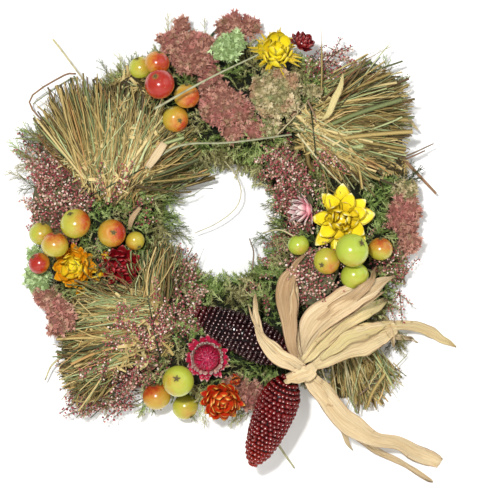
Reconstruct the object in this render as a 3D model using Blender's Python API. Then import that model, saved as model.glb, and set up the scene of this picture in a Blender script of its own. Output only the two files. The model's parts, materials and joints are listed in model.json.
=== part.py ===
"""Harvest door wreath: a straw ring dressed with moss, hay, sedum, heather, strawflowers, apples and corn.

The ring stands in the XZ plane. Its dressed front faces -Y and its back lies against the door.
Lengths are in millimetres from the ring's centre on the door plane. An empty carries the whole wreath,
so that the origin is the point where the hanging loop rests on the door's hook.

Places on the ring are given as a clock direction in degrees, clockwise from the top as seen from the
front, and as a distance outwards from the ring's centre line. The pieces are laid on in the order in
which a florist adds them: each is lowered towards the door until it meets what already lies there.
"""
import math

import bmesh
import bpy
from mathutils import Matrix, Vector
from mathutils.bvhtree import BVHTree

MM = 0.001

# Clearances
SEAT_GAP = 0.4            # left between a piece and what it rests on
FIT_GAP = 0.3             # between a pin and its bore, or a tie and its bundle
WIRE_GAP = 0.6            # between the binding wire and the straw under it
LOWERING_STEP = 0.2       # how finely a piece is backed off until it is clear
LOWERED_FROM = 1.0        # in front of everything laid so far
CUT_OVERRUN = 1.0         # how far a cutter starts outside what it cuts
FAR = 400.0               # further off the door than any piece
TOP_HEADING = 90.0        # heading of the clock's top
GROUND_SHARES = (-1.0, -0.5, 0.0, 0.5, 1.0)     # where across a strip the ground is felt

# Straw ring: flat back, rounded front
RING_RADIUS = 88.0        # centre line
STRAW_WIDTH = 48.0
STRAW_HEIGHT = 30.0
STRAW_OFF_DOOR = 4.0
STRAW_SHOULDER = 2.6      # exponent of the rounded front, 2 is an ellipse
STRAW_SECTION_POINTS = 9
RING_SEGMENTS = 48

# Moss coat: an arch over the straw, open at the back
MOSS_WIDTH = 88.0
MOSS_HEIGHT = 40.0
MOSS_SECTION_POINTS = 11

# Binding wire, wound round the straw ring
BINDING_DIAMETER = 0.7
BINDING_TURNS = 12
BINDING_SIDES = 6

# Hanging loop, and the staple that holds its bottom bar against the straw
LOOP_WIRE = 1.8
LOOP_WIDTH = 18.0         # between the middles of the two side wires
LOOP_HEIGHT = 38.0        # from the middle of the bar to the middle of the bow
LOOP_BELOW_EDGE = 7.0     # bar below the straw's outer edge
LOOP_ARC_STEPS = 12
LOOP_SIDES = 8
LOOP_BAR_SHARES = (-0.86, -0.45, 0.0, 0.45, 0.86)    # stations along the bar, of its half length
LOOP_FOOT = 0.14          # height of the bend from bar to side wire, as a share of the half width
LOOP_FOLD = 170.0
LOOP_CORNER_GAP = 0.5     # bar to straw
STAPLE_WIRE = 1.2
STAPLE_DEPTH = 13.0
STAPLE_BORE_SIDES = 10
NOTCH_MARGIN = 2.0        # moss cut back on each side of the loop
NOTCH_DEPTH = 5.5

# Hay sheaves
SHEAF_SIDES = 12
SHEAF_STATIONS = 6
SHEAF_SLOPE = 0.55        # steepest fall of a hay bundle along its length
SHEAF_SPREAD = 0.8        # exponent of how a bundle widens from root to tip
SHEAF_SWELL = (0.75, 0.5, -0.75)    # thickness at the root, then its change with the share along and square
TIE_DIAMETER = 1.0
TIE_LIFT = 1.21           # a tie's extra lift for each unit of the moss coat's steepness
TIE_SIDES = 6
TIE_PLACE = 0.6           # between the bundle's first and second station

# Heather mats, laid along the ring
HEATHER_THICKNESS = 9.0
HEATHER_STATIONS = 7
HEATHER_SIDES = 10
HEATHER_END = 0.12        # how far into the half wave of its width a mat begins
HEATHER_SLOPE = 0.5

# Fruit, flowers
APPLE_RADIUS = 10.0
APPLE_SIDES = 12
APPLE_RINGS = 7
APPLE_FLATNESS = 0.92
APPLE_DIMPLE = 0.82       # height of the dimple's floor, as a share of the pole's
APPLE_TURN = 137.0        # from one apple of a cluster to the next
APPLE_LEAN = 34.0
OVERHANG_LEVEL = 0.3      # lowest level of a head that reaches past the moss, as a share of the moss's height
FLOWER_SIDES = 14
SEDUM_SIDES = 12

# Flat-topped sedum head on a short cone of stems: radius and height, as shares of the head's radius
SEDUM_PROFILE = (
    (0.0, -0.45), (0.28, -0.42), (0.72, -0.10), (1.0, 0.10), (0.92, 0.34), (0.56, 0.50), (0.0, 0.56),
)

# Strawflower, a shallow bowl of bracts round a dome: radius and height when open, then what is added to
# each when shut, as shares of the flower's radius
FLOWER_PROFILE = (
    (0.0, -0.35, 0.0, 0.0), (0.45, -0.30, 0.0, 0.0), (0.80, 0.0, 0.1, 0.0), (1.0, 0.28, -0.1, 0.2),
    (0.62, 0.42, 0.0, 0.45), (0.34, 0.52, 0.0, 0.6), (0.0, 0.56, 0.0, 0.75),
)

# Corn: two ears and their husks, tied to one shank
SHANK_RADIUS = 5.0
SHANK_SIDES = 12
SHANK_CLOCK = 150.0
SHANK_OUT = 34.0
SHANK_PROUD = 4.0         # above the axes of the ears
EAR_LENGTH = 71.0
EAR_RADIUS = 15.0
EAR_BLUNTNESS = 3.0       # higher is nearer to a cylinder
EAR_TAPER = 0.35
EAR_EVEN = 0.3            # where along the ear its taper changes nothing
EAR_LEVEL = 0.4           # lowest level of an ear, as a share of the moss's height
EAR_TIP = 0.15            # radius of the very tip, as a share
EAR_SIDES = 16
EAR_RINGS = 9
STALK_RADIUS = 3.2
STALK_STATIONS = 4
STALK_BEND = 0.6          # where between shank and butt the stalk's middle lies
PIVOT_GAP = 0.5
DARK_EAR_LIFT = 12.0
RED_EAR_BACK = -20.0
RED_EAR_FORWARD = 8.0
SWING_STEP = 4.0
HUSK_THICKNESS = 1.4
HUSK_STATIONS = 12
HUSK_SLOPE = 0.75
HUSK_LIFT = 2.0           # husks above the top of the shank
HUSK_SECTION = ((-1.0, 0.0), (-0.5, 0.9), (0.5, 0.9), (1.0, 0.0), (0.5, -0.9), (-0.5, -0.9))

# Hay bundles: name, root clock, root out, heading, length, root width, tip width, thickness.
# A heading is an angle in the XZ plane, anticlockwise from +X as seen from the front.
SHEAVES = (
    ("hay_sheaf_upper_left", 291.0, -22.0, 118.0, 76.0, 52.0, 92.0, 17.0),
    ("hay_sheaf_upper_right", 42.0, -4.0, 6.0, 76.0, 26.0, 80.0, 16.0),
    ("hay_sheaf_lower_left", 208.0, -6.0, 191.0, 80.0, 42.0, 68.0, 17.0),
    ("hay_sheaf_lower_right", 133.0, 36.0, 281.0, 46.0, 26.0, 38.0, 9.0),
)
TIED_SHEAVES = 3

# Heather mats: name, first clock, last clock, out, width
HEATHERS = (
    ("heather_left", 262.0, 294.0, 30.0, 44.0),
    ("heather_lower_left", 208.0, 232.0, 34.0, 40.0),
    ("heather_inner_right", 36.0, 100.0, -30.0, 24.0),
    ("heather_lower_right", 106.0, 136.0, -12.0, 38.0),
)

# Sedum heads: name, clock, out, radius, lean outwards
SEDUMS = (
    ("sedum_rose_lower", 0.0, -6.0, 18.0, 0.0),
    ("sedum_rose_upper", 351.0, 33.0, 20.0, 26.0),
    ("sedum_middle", 23.0, 10.0, 20.0, 8.0),
    ("sedum_peak", 3.0, 50.0, 14.0, 38.0),
    ("sedum_green_upper", 2.0, 33.0, 11.5, 14.0),
    ("sedum_right", 88.0, 42.0, 17.0, 40.0),
    ("sedum_green_left", 253.0, 50.0, 15.0, 44.0),
    ("sedum_left_low", 240.0, 42.0, 14.5, 36.0),
    ("sedum_bottom", 171.0, 38.0, 14.0, 30.0),
)

# Strawflowers: name, clock, out, radius, lean outwards, open (0 a bud, 1 wide open)
FLOWERS = (
    ("strawflower_yellow_top", 18.0, 38.0, 15.5, 24.0, 0.8),
    ("strawflower_crimson_top", 24.5, 53.0, 9.5, 46.0, 0.3),
    ("strawflower_yellow_right", 89.0, -2.0, 22.0, -4.0, 1.0),
    ("strawflower_pink_bud", 82.0, -27.0, 8.5, -72.0, 0.0),
    ("strawflower_orange_left", 253.0, 22.0, 15.6, 16.0, 0.7),
    ("strawflower_crimson_left", 246.0, -9.0, 14.0, -10.0, 0.5),
    ("strawflower_magenta", 186.0, 10.0, 16.5, 4.0, 0.8),
    ("strawflower_flame", 180.0, 40.0, 15.5, 20.0, 0.6),
)

# Apples in each cluster: clock and out of the first, then right, up and size in apple radii.
# The last in a cluster is laid last, so it sits in front.
APPLE_CLUSTERS = (
    ("upper", 336.0, 16.0, (
        (-1.5, 1.4, 0.85), (-0.25, 1.6, 0.92), (0.95, -2.2, 0.96), (1.8, -0.65, 0.93), (0.0, 0.0, 1.1))),
    ("left", 269.0, 15.0, (
        (-2.6, -0.7, 0.9), (-2.75, -2.8, 0.8), (4.1, -1.2, 0.72), (-1.5, -1.5, 1.0), (2.5, -0.65, 1.06),
        (0.0, 0.0, 1.1))),
    ("lower", 195.0, 29.0, (
        (-1.7, -1.35, 1.05), (0.35, -2.2, 1.0), (0.0, 0.0, 1.16))),
    ("right", 102.5, 6.0, (
        (-3.7, 0.35, 0.82), (0.3, -1.85, 1.03), (-1.7, -0.8, 0.96), (2.2, 0.05, 0.92), (0.0, 0.0, 1.24))),
)

# Corn ears: name, heading, tilt of the tip towards the door, butt right and up from the pivot,
# first and last swing
EARS = (
    ("corn_ear_dark", 154.0, 0.0, -14.5, 10.5, 0.0, DARK_EAR_LIFT),
    ("corn_ear_red", 248.0, 14.0, -13.0, -4.0, RED_EAR_BACK, RED_EAR_FORWARD),
)

# Husks: name, then points (right and up from the shank), then widths at those points
HUSKS = (
    ("husk_streamer",
     ((5.0, -6.0), (20.0, -19.0), (37.0, -37.0), (57.0, -54.0), (96.0, -81.0)),
     (10.0, 14.0, 15.0, 16.0, 12.0)),
    ("husk_broad_lower",
     ((8.0, 3.0), (35.0, 18.0), (54.0, 24.0), (76.0, 28.0), (94.0, 24.0), (111.0, 13.0)),
     (10.0, 21.0, 17.0, 10.0, 9.0, 5.0)),
    ("husk_broad_upper",
     ((3.0, 8.0), (7.0, 26.0), (17.0, 39.0), (36.0, 50.0), (53.0, 60.0), (62.0, 65.0)),
     (8.0, 16.0, 22.0, 21.0, 16.0, 6.0)),
    ("husk_upright",
     ((-3.0, 8.0), (-13.0, 18.0), (-15.0, 38.0), (-17.0, 60.0), (-11.0, 75.0)), (6.0, 8.0, 12.5, 15.5, 6.0)),
    ("husk_curl",
     ((-7.0, 1.0), (-17.0, 7.0), (-32.0, 18.0), (-36.0, 36.0), (-37.0, 54.0)), (9.0, 14.0, 11.0, 7.0, 4.0)),
)

# Colour and roughness of each kind of piece
FINISHES = {
    "straw": ((0.62, 0.48, 0.26), 0.75),
    "moss": ((0.13, 0.17, 0.05), 0.95),
    "wire": ((0.20, 0.22, 0.16), 0.45),
    "hay": ((0.48, 0.42, 0.20), 0.80),
    "heather": ((0.34, 0.18, 0.17), 0.90),
    "sedum_rose": ((0.50, 0.26, 0.24), 0.85),
    "sedum_green": ((0.42, 0.52, 0.30), 0.85),
    "petal_yellow": ((0.90, 0.66, 0.04), 0.45),
    "petal_orange": ((0.85, 0.30, 0.02), 0.45),
    "petal_crimson": ((0.35, 0.01, 0.02), 0.40),
    "petal_pink": ((0.80, 0.25, 0.40), 0.45),
    "petal_magenta": ((0.55, 0.03, 0.16), 0.45),
    "apple_red": ((0.75, 0.14, 0.03), 0.30),
    "apple_green": ((0.55, 0.62, 0.15), 0.30),
    "corn_dark": ((0.06, 0.01, 0.02), 0.25),
    "corn_red": ((0.30, 0.01, 0.01), 0.30),
    "husk": ((0.78, 0.62, 0.40), 0.70),
}
FLOWER_FINISHES = ("petal_yellow", "petal_crimson", "petal_yellow", "petal_pink", "petal_orange",
                   "petal_crimson", "petal_magenta", "petal_orange")
CLUSTER_FINISHES = {"upper": "apple_red", "left": "apple_red", "lower": "apple_green", "right": "apple_green"}
METALS = {"wire": 0.9}
SMOOTH_ANGLE = math.radians(50)


# Scene and materials

def clear_scene():
    for thing in list(bpy.data.objects):
        bpy.data.objects.remove(thing, do_unlink=True)


def make_material(name):
    colour, roughness = FINISHES[name]
    material = bpy.data.materials.new(name)
    material.use_nodes = True
    shader = material.node_tree.nodes["Principled BSDF"]
    shader.inputs["Base Color"].default_value = (*colour, 1.0)
    shader.inputs["Roughness"].default_value = roughness
    shader.inputs["Metallic"].default_value = METALS.get(name, 0.0)
    return material


def make_empty(name, parent, place):
    empty = bpy.data.objects.new(name, None)
    bpy.context.scene.collection.objects.link(empty)
    empty.parent = parent
    empty.location = Vector(place) * MM
    return empty


def make_piece(name, shape, material, parent, place=(0.0, 0.0, 0.0), turn=None):
    """An object from points in millimetres and faces, at a place under its parent."""
    points, faces = shape
    mesh = bpy.data.meshes.new(name)
    mesh.from_pydata([Vector(point) * MM for point in points], [], faces)
    work = bmesh.new()
    work.from_mesh(mesh)
    bmesh.ops.recalc_face_normals(work, faces=work.faces)
    work.to_mesh(mesh)
    work.free()
    mesh.shade_smooth()
    mesh.set_sharp_from_angle(angle=SMOOTH_ANGLE)
    mesh.materials.append(material)
    piece = bpy.data.objects.new(name, mesh)
    bpy.context.scene.collection.objects.link(piece)
    piece.parent = parent
    piece.location = Vector(place) * MM
    if turn is not None:
        piece.rotation_mode = "QUATERNION"
        piece.rotation_quaternion = turn
    return piece


# Shapes

def turned(profile, sides):
    """Solid of revolution about Z, from (radius, height) points between two poles."""
    points = [(0.0, 0.0, profile[0][1])]
    for radius, height in profile[1:-1]:
        for side in range(sides):
            angle = math.tau * side / sides
            points.append((radius * math.cos(angle), radius * math.sin(angle), height))
    points.append((0.0, 0.0, profile[-1][1]))
    rings = len(profile) - 2
    faces = []
    for side in range(sides):
        after = (side + 1) % sides
        faces.append((0, 1 + after, 1 + side))
        for ring in range(rings - 1):
            low = 1 + ring * sides
            faces.append((low + side, low + after, low + sides + after, low + sides + side))
        top = 1 + (rings - 1) * sides
        faces.append((top + side, top + after, len(points) - 1))
    return points, faces


def ring_swept(outline):
    """Ring about Y, from a closed outline of (radius, y) points."""
    count = len(outline)
    points = []
    for segment in range(RING_SEGMENTS):
        angle = math.tau * segment / RING_SEGMENTS
        points += [(radius * math.cos(angle), y, radius * math.sin(angle)) for radius, y in outline]
    faces = []
    for segment in range(RING_SEGMENTS):
        here = segment * count
        there = ((segment + 1) % RING_SEGMENTS) * count
        for k in range(count):
            after = (k + 1) % count
            faces.append((here + k, here + after, there + after, there + k))
    return points, faces


def lofted(sections, closed=False):
    """Skin over rings of equal point counts, capped at its ends or joined into a loop."""
    count = len(sections[0])
    points = [point for section in sections for point in section]
    faces = []
    last = len(sections) if closed else len(sections) - 1
    for k in range(last):
        here = k * count
        there = ((k + 1) % len(sections)) * count
        for side in range(count):
            after = (side + 1) % count
            faces.append((here + side, here + after, there + after, there + side))
    if not closed:
        faces.append(tuple(range(count)))
        faces.append(tuple(range(len(points) - count, len(points))))
    return points, faces


def tapered(route, radii, sides, closed=False):
    """Round sections along a route of Vectors, turned by the least twist."""
    count = len(route)
    normal = None
    sections = []
    for k, (middle, radius) in enumerate(zip(route, radii)):
        before = route[(k - 1) % count] if closed or k else middle
        after = route[(k + 1) % count] if closed or k < count - 1 else middle
        along = (after - before).normalized()
        if normal is None:
            normal = along.orthogonal()
        normal = (normal - along * normal.dot(along)).normalized()
        other = along.cross(normal)
        ring = [math.tau * side / sides for side in range(sides)]
        sections.append([middle + (normal * math.cos(a) + other * math.sin(a)) * radius for a in ring])
    return sections


def tube(route, diameter, sides, closed=False):
    """Round wire along a route of Vectors."""
    sections = tapered(route, [diameter / 2] * len(route), sides, closed)
    return lofted(untwisted(sections) if closed else sections, closed)


def untwisted(sections):
    """Starts each ring of a closed tube so that its last ring meets its first without a twist."""
    count = len(sections[0])
    best = min(range(count), key=lambda k: (sections[-1][0] - sections[0][k]).length)
    turned_rings = []
    for k, section in enumerate(sections):
        share = best * k / len(sections)
        middle = sum(section, Vector()) / count
        along = (section[1] - middle).cross(section[0] - middle).normalized()
        spin = Matrix.Rotation(-math.tau * share / count, 3, along)
        turned_rings.append([middle + spin @ (point - middle) for point in section])
    return turned_rings


def smooth_path(stops, count):
    """Points evenly spaced by parameter on a Catmull-Rom curve through the stops."""
    stops = [Vector(stop) for stop in stops]
    guide = [2 * stops[0] - stops[1]] + stops + [2 * stops[-1] - stops[-2]]
    path = []
    for k in range(count):
        place = k * (len(stops) - 1) / (count - 1)
        start = min(int(place), len(stops) - 2)
        t = place - start
        a, b, c, d = guide[start:start + 4]
        path.append(0.5 * (2 * b + (c - a) * t + (2 * a - 5 * b + 4 * c - d) * t * t
                           + (3 * b - a - 3 * c + d) * t * t * t))
    return path


# Places on the ring

def on_ring(clock, out):
    """Point in the XZ plane at a clock direction and a distance out from the centre line."""
    angle = math.radians(TOP_HEADING - clock)
    radius = RING_RADIUS + out
    return Vector((radius * math.cos(angle), 0.0, radius * math.sin(angle)))


def along_heading(heading):
    angle = math.radians(heading)
    return Vector((math.cos(angle), 0.0, math.sin(angle)))


def facing(clock, lean):
    """Turn that points +Z off the door, leaning towards a clock direction."""
    outwards = along_heading(TOP_HEADING - clock)
    slant = math.radians(lean)
    direction = outwards * math.sin(slant) + Vector((0.0, -1.0, 0.0)) * math.cos(slant)
    return direction.to_track_quat("Z", "Y")


# Laying pieces on one another

class Bench:
    """Surfaces laid so far, as points in millimetres and triangles."""

    def __init__(self):
        self.points = []
        self.faces = []
        self.tree = None

    def add(self, points, faces):
        start = len(self.points)
        self.points += points
        self.faces += [tuple(start + corner for corner in face) for face in faces]
        self.tree = BVHTree.FromPolygons(self.points, self.faces)

    def ground(self, x, z):
        """How far the surface at x, z stands off the door."""
        hit = self.tree.ray_cast(Vector((x, -FAR, z)), Vector((0.0, 1.0, 0.0)))[0]
        return 0.0 if hit is None else -hit.y


def surface_of(piece, swing=0.0, pivot=None):
    """Points in millimetres and triangles of a piece, swung about a pivot's Y axis where one is given."""
    matrix = piece.matrix_basis
    if pivot is not None:
        turn = Matrix.Rotation(math.radians(swing), 4, "Y")
        matrix = pivot.matrix_basis @ turn @ matrix
    mesh = piece.data
    mesh.calc_loop_triangles()
    points = [(matrix @ vertex.co) / MM for vertex in mesh.vertices]
    return points, [tuple(triangle.vertices) for triangle in mesh.loop_triangles]


def gather(pieces, pivot, swings):
    points = []
    faces = []
    for piece in pieces:
        for swing in swings:
            more, triangles = surface_of(piece, swing, pivot)
            start = len(points)
            points += more
            faces += [tuple(start + corner for corner in triangle) for triangle in triangles]
    return points, faces


def free_travel(bench, points, faces):
    """How far the points can move along +Y from in front of everything until something touches."""
    towards = Vector((0.0, 1.0, 0.0))
    tree = BVHTree.FromPolygons(points, faces)
    travel = -max(point.y for point in points)
    for point in points:
        hit = bench.tree.ray_cast(point, towards)[3]
        travel = travel if hit is None else min(travel, hit)
    low_x, high_x = min(p.x for p in points), max(p.x for p in points)
    low_z, high_z = min(p.z for p in points), max(p.z for p in points)
    for point in bench.points:
        if low_x < point.x < high_x and low_z < point.z < high_z:
            hit = tree.ray_cast(point, -towards)[3]
            travel = travel if hit is None else min(travel, hit)
    return travel


def lay(bench, pieces, level=0.0, pivot=None, swings=(0.0,)):
    """Lowers pieces together onto the bench, no nearer to the door than a level, and adds them to it."""
    points, faces = gather(pieces, pivot, swings)
    rear = max(point.y for point in points)
    front = min(point.y for point in bench.points)
    start = front - rear - LOWERED_FROM
    raised = [point + Vector((0.0, start, 0.0)) for point in points]
    travel = min(free_travel(bench, raised, faces), -level - rear - start)
    while True:
        moved = [point + Vector((0.0, travel, 0.0)) for point in raised]
        if not BVHTree.FromPolygons(moved, faces).overlap(bench.tree):
            break
        travel -= LOWERING_STEP
    shift = start + travel - SEAT_GAP
    for carrier in [pivot] if pivot is not None else pieces:
        carrier.location.y += shift * MM
    bench.add([point + Vector((0.0, shift, 0.0)) for point in points], faces)


def draped(bench, path, half_widths, slope, first_level=0.0):
    """Height and sideways tilt at each point of a path, so that a strip clears the ground under it."""
    bases = []
    tilts = []
    for k, middle in enumerate(path):
        across = side_of(path, k)
        grounds = []
        for share in GROUND_SHARES:
            spot = middle + across * half_widths[k] * share
            grounds.append(bench.ground(spot.x, spot.z))
        limit = slope * half_widths[k]
        tilt = max(-limit, min(limit, (grounds[-1] - grounds[0]) / 2))
        tilts.append(tilt)
        bases.append(max(ground - tilt * share for ground, share in zip(grounds, GROUND_SHARES)))
    bases[0] = max(bases[0], first_level)
    heights = []
    for middle in path:
        reach = [base - slope * (middle - other).length for base, other in zip(bases, path)]
        heights.append(max(reach))
    return heights, tilts


def side_of(path, k):
    """Unit vector across a path in the XZ plane."""
    along = path[min(k + 1, len(path) - 1)] - path[max(k - 1, 0)]
    return Vector((-along.z, 0.0, along.x)).normalized()


def strip(bench, path, half_widths, thicknesses, section, slope, first_level=0.0):
    """Sections along a path that follow the ground: section points are shares of width and thickness."""
    heights, tilts = draped(bench, path, half_widths, slope, first_level)
    rings = []
    for k, middle in enumerate(path):
        across = side_of(path, k)
        lift = heights[k] + thicknesses[k] / 2
        ring = []
        for share, rise in section:
            off_door = lift + tilts[k] * share + thicknesses[k] / 2 * rise
            ring.append(middle + across * half_widths[k] * share + Vector((0.0, -off_door, 0.0)))
        rings.append(ring)
    return rings


# Straw ring, binding, moss

def straw_outline(grow=0.0):
    """Closed (radius, y) outline of the straw: flat back, rounded front, grown outwards all round."""
    half = STRAW_WIDTH / 2 + grow
    height = STRAW_HEIGHT + grow
    outline = []
    for k in range(STRAW_SECTION_POINTS):
        angle = math.pi * k / (STRAW_SECTION_POINTS - 1)
        side = math.copysign(abs(math.cos(angle)) ** (2 / STRAW_SHOULDER), math.cos(angle))
        front = math.sin(angle) ** (2 / STRAW_SHOULDER)
        outline.append((RING_RADIUS + half * side, -STRAW_OFF_DOOR - height * front))
    return outline


def straw_bar_place():
    """Middle of the loop's bottom bar: behind the straw, just inside its outer edge."""
    up = RING_RADIUS + STRAW_WIDTH / 2 - LOOP_BELOW_EDGE
    return Vector((0.0, -STRAW_OFF_DOOR + LOOP_CORNER_GAP + LOOP_WIRE / 2, up))


def build_straw_base(root, materials):
    base = make_piece("straw_base", ring_swept(straw_outline()), materials["straw"], root)
    bore = STAPLE_WIRE / 2 + FIT_GAP
    for end, z in enumerate(staple_legs()):
        depth = STAPLE_DEPTH + FIT_GAP + CUT_OVERRUN
        profile = ((0.0, 0.0), (bore, 0.0), (bore, depth), (0.0, depth))
        place = (0.0, -STRAW_OFF_DOOR + CUT_OVERRUN, z)
        turn = Vector((0.0, -1.0, 0.0)).to_track_quat("Z", "Y")
        shape = turned(profile, STAPLE_BORE_SIDES)
        cutter = make_piece(f"staple_bore_{end}", shape, materials["straw"], root, place, turn)
        cut(base, cutter)
    return base


def cut(piece, cutter):
    cutter.hide_render = True
    cutter.display_type = "WIRE"
    boolean = piece.modifiers.new(cutter.name, "BOOLEAN")
    boolean.operation = "DIFFERENCE"
    boolean.solver = "EXACT"
    boolean.object = cutter


def binding_outline():
    """One turn of the wire as (radius, y): over the front of the straw and back under its flat back."""
    grow = WIRE_GAP + BINDING_DIAMETER / 2
    back = -STRAW_OFF_DOOR + grow
    half = STRAW_WIDTH / 2
    under = [(RING_RADIUS - half, back), (RING_RADIUS, back), (RING_RADIUS + half, back)]
    return under[1:] + straw_outline(grow) + under[:1]


def build_binding_wire(root, materials):
    """One wire wound round the straw ring, crossing its back on either side of the hanging loop."""
    outline = binding_outline()
    total = BINDING_TURNS * len(outline)
    half_turn = math.pi / BINDING_TURNS
    route = []
    for k in range(total):
        radius, y = outline[k % len(outline)]
        angle = math.pi / 2 + half_turn + math.tau * k / total
        route.append(Vector((radius * math.cos(angle), y, radius * math.sin(angle))))
    shape = tube(route, BINDING_DIAMETER, BINDING_SIDES, closed=True)
    return make_piece("binding_wire", shape, materials["wire"], root)


def lining_gap():
    """Room between straw and moss for the binding wire, and for the flats of a ring with straight sides."""
    flats = (RING_RADIUS + STRAW_WIDTH / 2) * (1 - math.cos(math.pi / RING_SEGMENTS))
    return WIRE_GAP + BINDING_DIAMETER + FIT_GAP + flats


def build_moss_coat(root, materials):
    """Arch of moss over the straw, with a notch at the top of its back for the hanging loop."""
    half = MOSS_WIDTH / 2
    outside = []
    for k in range(MOSS_SECTION_POINTS):
        angle = math.pi * k / (MOSS_SECTION_POINTS - 1)
        outside.append((RING_RADIUS + half * math.cos(angle), -MOSS_HEIGHT * math.sin(angle)))
    lining = straw_outline(lining_gap())
    lining = [(lining[0][0], 0.0)] + lining[1:-1] + [(lining[-1][0], 0.0)]
    coat = make_piece("moss_coat", ring_swept(outside + lining[::-1]), materials["moss"], root)
    low = RING_RADIUS + STRAW_WIDTH / 2 - LOOP_BELOW_EDGE
    high = RING_RADIUS + half + NOTCH_MARGIN
    wide = LOOP_WIDTH / 2 + LOOP_WIRE / 2 + NOTCH_MARGIN
    sections = []
    for z in (low, high):
        back = [(-wide, CUT_OVERRUN, z), (wide, CUT_OVERRUN, z)]
        sections.append(back + [(wide, -NOTCH_DEPTH, z), (-wide, -NOTCH_DEPTH, z)])
    cut(coat, make_piece("loop_notch", lofted(sections), materials["moss"], root))
    return coat


# Hanging loop and its staple

def staple_legs():
    """Heights of the staple's two legs, below and above the bar."""
    spread = LOOP_WIRE / 2 + FIT_GAP + STAPLE_WIRE / 2
    middle = straw_bar_place().z
    return middle - spread, middle + spread


def build_loop_staple(root, materials):
    bar = straw_bar_place()
    low, high = staple_legs()
    bow = bar.y + LOOP_WIRE / 2 + FIT_GAP + STAPLE_WIRE / 2
    deep = -STRAW_OFF_DOOR - STAPLE_DEPTH
    bend = STAPLE_WIRE
    stops = ((deep, low), (deep / 2, low), (bow - bend, low), (bow, low + bend / 2), (bow, bar.z),
             (bow, high - bend / 2), (bow - bend, high), (deep / 2, high), (deep, high))
    route = [Vector((0.0, y, z)) for y, z in stops]
    return make_piece("loop_staple", tube(route, STAPLE_WIRE, LOOP_SIDES), materials["wire"], root)


def build_hanging_loop(root, materials):
    """Wire D with a straight bar at the bottom; its origin is on the bar, which turns in the staple."""
    bar = straw_bar_place()
    pivot = make_empty("loop_pivot", root, bar)
    half = LOOP_WIDTH / 2
    straight = LOOP_HEIGHT - half
    route = [Vector((share * half, 0.0, 0.0)) for share in LOOP_BAR_SHARES]
    route.append(Vector((half, 0.0, half * LOOP_FOOT)))
    route.append(Vector((half, 0.0, straight / 2)))
    for k in range(LOOP_ARC_STEPS + 1):
        angle = math.pi * k / LOOP_ARC_STEPS
        route.append(Vector((half * math.cos(angle), 0.0, straight + half * math.sin(angle))))
    route.append(Vector((-half, 0.0, straight / 2)))
    route.append(Vector((-half, 0.0, half * LOOP_FOOT)))
    make_piece("hanging_loop", tube(route, LOOP_WIRE, LOOP_SIDES, closed=True), materials["wire"], pivot)
    return pivot


# Hay and heather

def round_section(sides):
    """Points of an oval section as shares of half width and half thickness."""
    return [(math.cos(math.tau * k / sides), math.sin(math.tau * k / sides)) for k in range(sides)]


def build_sheaf(bench, root, materials, row, tied):
    name, clock, out, heading, length, root_width, tip_width, thickness = row
    start = on_ring(clock, out)
    path = []
    half_widths = []
    thicknesses = []
    at_root, straight, curved = SHEAF_SWELL
    for k in range(SHEAF_STATIONS):
        share = k / (SHEAF_STATIONS - 1)
        path.append(start + along_heading(heading) * length * share)
        half_widths.append((root_width + (tip_width - root_width) * share ** SHEAF_SPREAD) / 2)
        thicknesses.append(thickness * (at_root + straight * share + curved * share * share))
    section = round_section(SHEAF_SIDES)
    rings = strip(bench, path, half_widths, thicknesses, section, SHEAF_SLOPE)
    pieces = [make_piece(name, lofted(rings), materials["hay"], root)]
    if tied:
        waist = [first.lerp(second, TIE_PLACE) for first, second in zip(rings[0], rings[1])]
        route = around_bundle(waist, section, side_of(path, 0), half_widths[1], thicknesses[1] / 2)
        tie_name = name.replace("hay_sheaf", "sheaf_tie")
        shape = tube(route, TIE_DIAMETER, TIE_SIDES, closed=True)
        pieces.append(make_piece(tie_name, shape, materials["wire"], root))
    lay(bench, pieces)


def around_bundle(waist, section, across, half_width, half_thickness):
    """Route of a tie just outside a bundle's oval waist."""
    off_door = Vector((0.0, -1.0, 0.0))
    route = []
    for point, (share, rise) in zip(waist, section):
        normal = across * share * half_thickness + off_door * rise * half_width
        off = 2 * FIT_GAP + TIE_DIAMETER * (0.5 + TIE_LIFT * MOSS_HEIGHT / MOSS_WIDTH)
        route.append(point + normal.normalized() * off)
    return route


def build_heather(bench, root, materials, row):
    name, first, last, out, width = row
    path = []
    half_widths = []
    thicknesses = []
    for k in range(HEATHER_STATIONS):
        share = k / (HEATHER_STATIONS - 1)
        full = math.sin(math.pi * (HEATHER_END + (1 - 2 * HEATHER_END) * share)) ** 0.5
        path.append(on_ring(first + (last - first) * share, out))
        half_widths.append(width / 2 * full)
        thicknesses.append(HEATHER_THICKNESS * full)
    rings = strip(bench, path, half_widths, thicknesses, round_section(HEATHER_SIDES), HEATHER_SLOPE)
    lay(bench, [make_piece(name, lofted(rings), materials["heather"], root)])


# Flower heads and fruit

def sedum_profile(radius):
    return [(radius * across, radius * high) for across, high in SEDUM_PROFILE]


def flower_profile(radius, opening):
    """The open outline, rounded up into a bud as far as the flower is shut."""
    shut = 1.0 - opening
    return [(radius * (across + shut * wider), radius * (high + shut * higher))
            for across, high, wider, higher in FLOWER_PROFILE]


def apple_profile(radius):
    """Slightly flattened ball with a dimple at the top."""
    profile = []
    for k in range(APPLE_RINGS + 1):
        angle = math.pi * k / APPLE_RINGS
        profile.append((radius * math.sin(angle), -radius * APPLE_FLATNESS * math.cos(angle)))
    profile[0] = (0.0, profile[0][1])
    profile[-1] = (0.0, profile[-1][1] * APPLE_DIMPLE)
    return profile


def build_sedum(bench, root, materials, row):
    name, clock, out, radius, lean = row
    finish = "sedum_green" if "green" in name else "sedum_rose"
    shape = turned(sedum_profile(radius), SEDUM_SIDES)
    piece = make_piece(name, shape, materials[finish], root, on_ring(clock, out), facing(clock, lean))
    lay(bench, [piece], edge_level(out, radius))


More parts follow.
